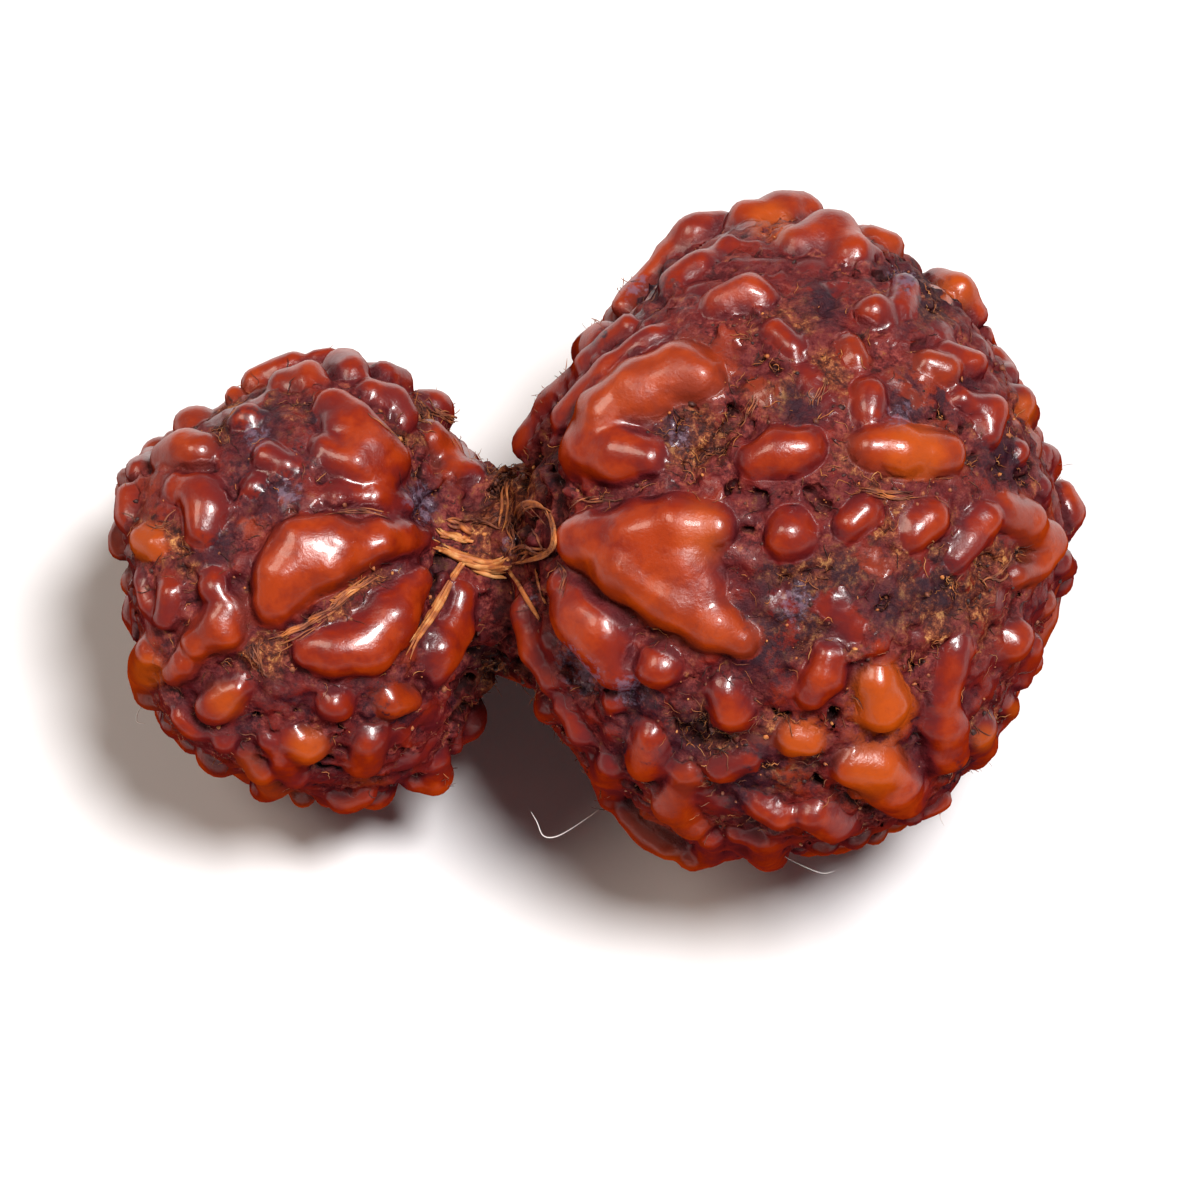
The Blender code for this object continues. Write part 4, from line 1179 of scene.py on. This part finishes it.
def fuzz_piece(skin):
    """Short torn fibres that stand up along the outline."""
    draw = np.random.default_rng(FUZZ_SEED)
    points, _ = net_vertices(skin.field, skin.grid)
    odds = nearness(points, FUZZ_PLACES) * (np.abs(skin.out(points)[:, 2]) < FUZZ_FACING)
    starts = points[draw.choice(len(points), FUZZ, p=odds / odds.sum())]
    heading = 0.6 * skin.out(starts) + draw.normal(0, 0.6, starts.shape)
    bend = draw.normal(0, 0.5, starts.shape)
    length = FUZZ_LENGTH[0] + FUZZ_LENGTH[1] * draw.uniform(0, 1, (FUZZ, 1)) ** 2
    share = np.linspace(0, 1, FUZZ_POINTS)
    paths = np.stack([starts + length * (s * heading + s * s * bend) for s in share], axis=1)
    outs = np.broadcast_to((0.0, 0.0, 1.0), paths.shape)
    mesh = tubes("outline_fuzz", paths, draw.uniform(*FUZZ_RADII, FUZZ), outs)
    give_values(mesh, "shade", np.repeat(draw.uniform(0.35, 0.85, FUZZ), FUZZ_POINTS * THIN_SIDES))
    return laid(skin, "outline_fuzz", mesh, fibre_material())


def hair_piece(skin):
    """The few pale hairs that have stuck to the stone."""
    paths = np.stack([curve_through(places, HAIR_POINTS) for places in HAIRS])
    outs = np.broadcast_to((0.0, 0.0, 1.0), paths.shape)
    mesh = tubes("stray_hairs", paths, np.full(len(paths), HAIR_RADIUS), outs, HAIR_SIDES, 1.0)
    return laid(skin, "stray_hairs", mesh, plain_material("pale_hair", HAIR_COLOUR, 0.5))


def set_range(node, numbers):
    """Gives a Map Range node soft ends and its four numbers."""
    node.interpolation_type = "SMOOTHSTEP"
    for name, number in zip(RANGE_SOCKETS, numbers):
        node.inputs[name].default_value = number


class Look:
    """A material and short ways to add nodes to it."""

    def __init__(self, name):
        self.material = bpy.data.materials.new(name)
        self.material.use_nodes = True
        self.nodes = self.material.node_tree.nodes
        self.links = self.material.node_tree.links
        self.shader = self.nodes["Principled BSDF"]
        self.place = self.nodes.new("ShaderNodeTexCoord").outputs["Object"]

    def value(self, name):
        node = self.nodes.new("ShaderNodeAttribute")
        node.attribute_name = name
        return node.outputs["Fac"]

    def noise(self, wavelength, detail=2.0, roughness=0.5):
        """Noise with a wavelength in millimetres."""
        node = self.nodes.new("ShaderNodeTexNoise")
        node.inputs["Scale"].default_value = MILLIMETRES / wavelength
        node.inputs["Detail"].default_value = detail
        node.inputs["Roughness"].default_value = roughness
        self.links.new(self.place, node.inputs["Vector"])
        return node.outputs["Fac"]

    def ramp(self, value, *stops):
        """Colours along a value; each stop is (place, colour)."""
        node = self.nodes.new("ShaderNodeValToRGB")
        line = node.color_ramp.elements
        while len(line) < len(stops):
            line.new(0.5)
        for element, (place, colour) in zip(line, stops):
            element.position = place
            element.color = (*colour, 1)
        self.links.new(value, node.inputs["Fac"])
        return node.outputs["Color"]

    def stretch(self, value, low, high, to_low=0.0, to_high=1.0):
        node = self.nodes.new("ShaderNodeMapRange")
        set_range(node, (low, high, to_low, to_high))
        self.links.new(value, node.inputs["Value"])
        return node.outputs["Result"]

    def math(self, operation, a, b):
        node = self.nodes.new("ShaderNodeMath")
        node.operation = operation
        for socket, value in zip(node.inputs, (a, b)):
            self.plug(value, socket)
        return node.outputs["Value"]

    def times(self, a, b):
        return self.math("MULTIPLY", a, b)

    def plus(self, a, b):
        return self.math("ADD", a, b)

    def mix(self, share, a, b):
        node = self.nodes.new("ShaderNodeMix")
        node.data_type = "RGBA"
        self.plug(share, node.inputs["Factor"])
        self.plug(a, node.inputs[6])
        self.plug(b, node.inputs[7])
        return node.outputs[2]

    def plug(self, value, socket):
        if isinstance(value, bpy.types.NodeSocket):
            self.links.new(value, socket)
        elif isinstance(value, tuple):
            socket.default_value = (*value, 1)
        else:
            socket.default_value = value

    def bump(self, height, depth):
        """Relief from a height of 0 to 1, its depth in millimetres."""
        node = self.nodes.new("ShaderNodeBump")
        node.inputs["Strength"].default_value = 1
        node.inputs["Distance"].default_value = depth / MILLIMETRES
        self.links.new(height, node.inputs["Height"])
        self.links.new(node.outputs["Normal"], self.shader.inputs["Normal"])


def skin_material():
    """Glossy red-brown lobes that run through maroon into a dull fibrous floor, with shade painted darker
    in crevices, creases and some violet hollows, and a painted pale violet gleam.
    """
    look = Look("stone_skin")
    names = ("lift", "apart", "tint", "main", "painted_violet_shade", "litter", "open", "sheen", "up", "painted_gleam")
    lift, apart, tint, main, painted_violet_shade, litter, openness, sheen, up, painted_gleam = map(look.value, names)
    mottle = look.stretch(look.noise(1.1, 3.0, 0.6), 0.32, 0.68)
    grain = look.noise(0.3, 4.0, 0.7)
    on_lobe = look.stretch(apart, 0.28, 0.0)
    openness_shade_and_gloss = look.stretch(openness, 0.3, 0.85)
    crown = look.stretch(lift, 0.1, 1.3)
    share = look.times(on_lobe, look.stretch(main, 0.0, 1.0, 0.5, 1.0))
    clear = look.stretch(look.math("MAXIMUM", litter, painted_violet_shade), 0.1, 0.9, 1.0, 0.3)
    lump = look.times(look.stretch(lift, 0.0, 0.5, 0.0, 0.66), clear)
    share = look.math("MAXIMUM", share, lump)
    # partly the lobes' own colour, partly painted shade: lighter on the crowns, darker towards the crevice
    # floor and in narrow crevices, over a random mottle
    tone_and_painted_shade = look.plus(look.times(crown, 0.42), look.times(openness_shade_and_gloss, 0.3))
    tone_and_painted_shade = look.plus(tone_and_painted_shade, look.times(mottle, 0.3))
    flesh = look.ramp(
        tone_and_painted_shade, (0.05, DARK_RED), (0.35, MAROON), (0.58, DEEP_RED), (0.78, RED_BROWN), (0.97, CHESTNUT)
    )
    flesh = look.mix(look.stretch(tint, 0.35, 1.2), flesh, look.mix(0.6, flesh, ORANGE))
    flesh = look.mix(look.stretch(grain, 0.5, 0.8, 0.0, 0.25), flesh, MAROON)
    flecks = look.noise(0.45, 5.0, 0.75)
    pulp = look.ramp(
        flecks,
        (0.32, DARK_BROWN),
        (0.42, DARK_RED),
        (0.50, PULP_RED),
        (0.57, ROSE_BROWN),
        (0.64, OCHRE),
        (0.74, PALE_OCHRE),
    )
    dry = look.ramp(
        look.noise(0.36, 5.0, 0.8),
        (0.38, DARK_BROWN),
        (0.45, UMBER),
        (0.51, RUST),
        (0.56, OCHRE),
        (0.65, PALE_OCHRE),
    )
    patches = look.noise(1.6, 3.0)
    floor = look.mix(look.stretch(look.noise(2.4, 2.0), 0.52, 0.66, 0.0, 0.65), pulp, DUSKY)
    floor = look.mix(look.stretch(patches, 0.5, 0.62, 0.0, 0.6), floor, MAROON)
    dryness = look.times(look.stretch(litter, 0.1, 0.9), look.stretch(patches, 0.6, 0.42))
    floor = look.mix(dryness, floor, dry)
    # painted shade: dark violet in the listed hollows
    violet_shade_share = look.times(painted_violet_shade, look.stretch(grain, 0.45, 0.62, 0.9, 0.5))
    floor = look.mix(violet_shade_share, floor, DUSKY)
    # painted shade: darker in the creases that go below the smooth floor
    painted_hollow_shade = look.times(look.stretch(lift, 0.08, -0.3), look.stretch(grain, 0.35, 0.6, 0.85, 0.35))
    floor = look.mix(painted_hollow_shade, floor, DARK_BROWN)
    # painted shade: darker in narrow crevices
    floor = look.mix(look.stretch(openness, 0.5, 0.1, 0.0, 0.8), floor, DARK_BROWN)
    # painted reflection: a pale violet gleam in the listed places, which also makes them glossier
    gleam_and_gloss = look.plus(painted_gleam, look.stretch(look.noise(0.28, 4.0, 0.7), 0.35, 0.65, -0.7, 0.3))
    gleam_and_gloss = look.stretch(gleam_and_gloss, 0.3, 1.1, 0.0, 0.6)
    edge = look.plus(share, look.stretch(grain, 0.3, 0.7, -0.25, 0.25))
    edge = look.plus(edge, look.times(mottle, 0.25))
    # the painted violet shade also holds the lobe colour back
    violet_shade_over_lobe = look.times(painted_violet_shade, look.stretch(patches, 0.45, 0.6, 0.0, 0.5))
    edge = look.math("SUBTRACT", edge, violet_shade_over_lobe)
    clean = look.stretch(edge, 0.4, 0.85)
    colour = look.mix(gleam_and_gloss, look.mix(clean, floor, flesh), PALE_VIOLET)
    look.plug(colour, look.shader.inputs["Base Color"])
    glossy = look.times(look.stretch(share, 0.35, 0.95), openness_shade_and_gloss)
    glossy = look.math("MAXIMUM", glossy, gleam_and_gloss)
    lit = look.stretch(up, 0.3, 0.85)
    rough = look.plus(look.stretch(glossy, 0.0, 1.0, 0.55, 0.3), look.stretch(sheen, 0.0, 1.0, 0.0, 0.17))
    look.plug(rough, look.shader.inputs["Roughness"])
    fine = look.times(look.noise(0.16, 4.0, 0.7), look.stretch(glossy, 0.1, 0.9, 1.0, 0.16))
    ripple = look.times(look.noise(0.3, 4.0, 0.65), look.stretch(sheen, 0.0, 1.0, 0.12, 0.4))
    look.bump(look.plus(fine, ripple), 0.1)
    coat = look.times(look.times(glossy, lit), look.stretch(sheen, 0.2, 1.0, 0.45, 0.15))
    look.plug(coat, look.shader.inputs["Coat Weight"])
    look.shader.inputs["Coat Roughness"].default_value = 0.1
    shine = look.stretch(glossy, 0.0, 1.0, 0.2, 0.62)
    look.plug(look.times(shine, lit), look.shader.inputs["Specular IOR Level"])
    return look.material


def fibre_material():
    """Dried pulp, from dark brown to ochre and orange."""
    look = Look("dried_pulp")
    shade = look.plus(look.value("shade"), look.stretch(look.noise(0.4, 3.0), 0.3, 0.7, -0.24, 0.1))
    colour = look.ramp(
        shade, (0.0, DARK_BROWN), (0.3, UMBER), (0.6, OCHRE), (0.82, FIBRE_ORANGE), (1.0, PALE_OCHRE)
    )
    look.plug(colour, look.shader.inputs["Base Color"])
    look.shader.inputs["Roughness"].default_value = 0.62
    return look.material


def plain_material(name, colour, roughness):
    look = Look(name)
    look.plug(colour, look.shader.inputs["Base Color"])
    look.shader.inputs["Roughness"].default_value = roughness
    return look.material


def view_axes():
    """The view's right, up and towards-the-eye directions, as the object lies."""
    turn = lies_to_view().inverted()
    return [turn @ Vector(side) for side in ((1, 0, 0), (0, 1, 0), (0, 0, 1))]


def aim(thing, place, towards):
    thing.location = place
    thing.rotation_euler = (place - towards).to_track_quat("Z", "Y").to_euler()


def add_light(name, target, direction, distance, size, power, colour):
    """A round soft light that shines on a target from a direction of the view."""
    light = bpy.data.objects.new(name, bpy.data.lights.new(name, "AREA"))
    bpy.context.scene.collection.objects.link(light)
    right, up, towards_eye = view_axes()
    way = (right * direction[0] + up * direction[1] + towards_eye * direction[2]).normalized()
    aim(light, target + way * distance, target)
    light.data.shape = "DISK"
    light.data.size = size
    light.data.energy = power
    light.data.color = colour


def add_camera(skin):
    camera = bpy.data.objects.new("camera", bpy.data.cameras.new("camera"))
    bpy.context.scene.collection.objects.link(camera)
    bpy.context.scene.camera = camera
    camera.data.lens = LENS
    camera.data.sensor_width = SENSOR
    camera.data.clip_start, camera.data.clip_end = CLIP
    centre = skin.lies_at @ Vector(FRAME_CENTRE)
    distance = FRAME_WIDTH / MILLIMETRES * LENS / SENSOR
    towards_eye = view_axes()[2]
    camera.location = centre + towards_eye * distance
    camera.matrix_world = (
        Matrix.Translation(camera.location) @ lies_to_view().inverted().to_4x4()
    )


def add_floor():
    bpy.ops.mesh.primitive_plane_add(size=FLOOR_SIZE)
    floor = bpy.context.object
    floor.name = "floor"
    floor.location.z = -FLOOR_DROP
    floor.data.materials.append(plain_material("pale_floor", FLOOR_COLOUR, 0.6))


def add_world():
    """A pale ring round the horizon under a darker ceiling."""
    world = bpy.data.worlds.new("studio")
    world.use_nodes = True
    nodes, links = world.node_tree.nodes, world.node_tree.links
    split = nodes.new("ShaderNodeSeparateXYZ")
    links.new(nodes.new("ShaderNodeTexCoord").outputs["Generated"], split.inputs[0])
    ramp = nodes.new("ShaderNodeMapRange")
    set_range(ramp, WORLD_RAMP)
    links.new(split.outputs["Z"], ramp.inputs["Value"])
    links.new(ramp.outputs["Result"], nodes["Background"].inputs["Strength"])
    nodes["Background"].inputs["Color"].default_value = (1, 1, 1, 1)
    bpy.context.scene.world = world
    bpy.context.scene.view_settings.view_transform = "Standard"


def main():
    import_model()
    skin = Skin()
    skin_piece(skin)
    fibre_piece(skin)
    strand_piece(skin)
    crumb_piece(skin)
    fuzz_piece(skin)
    hair_piece(skin)
    target = skin.lies_at @ Vector((0, 0, 0))
    add_light("key", target, *KEY)
    add_light("fill", target, *FILL)
    add_world()
    add_floor()
    add_camera(skin)
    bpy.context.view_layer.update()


main()
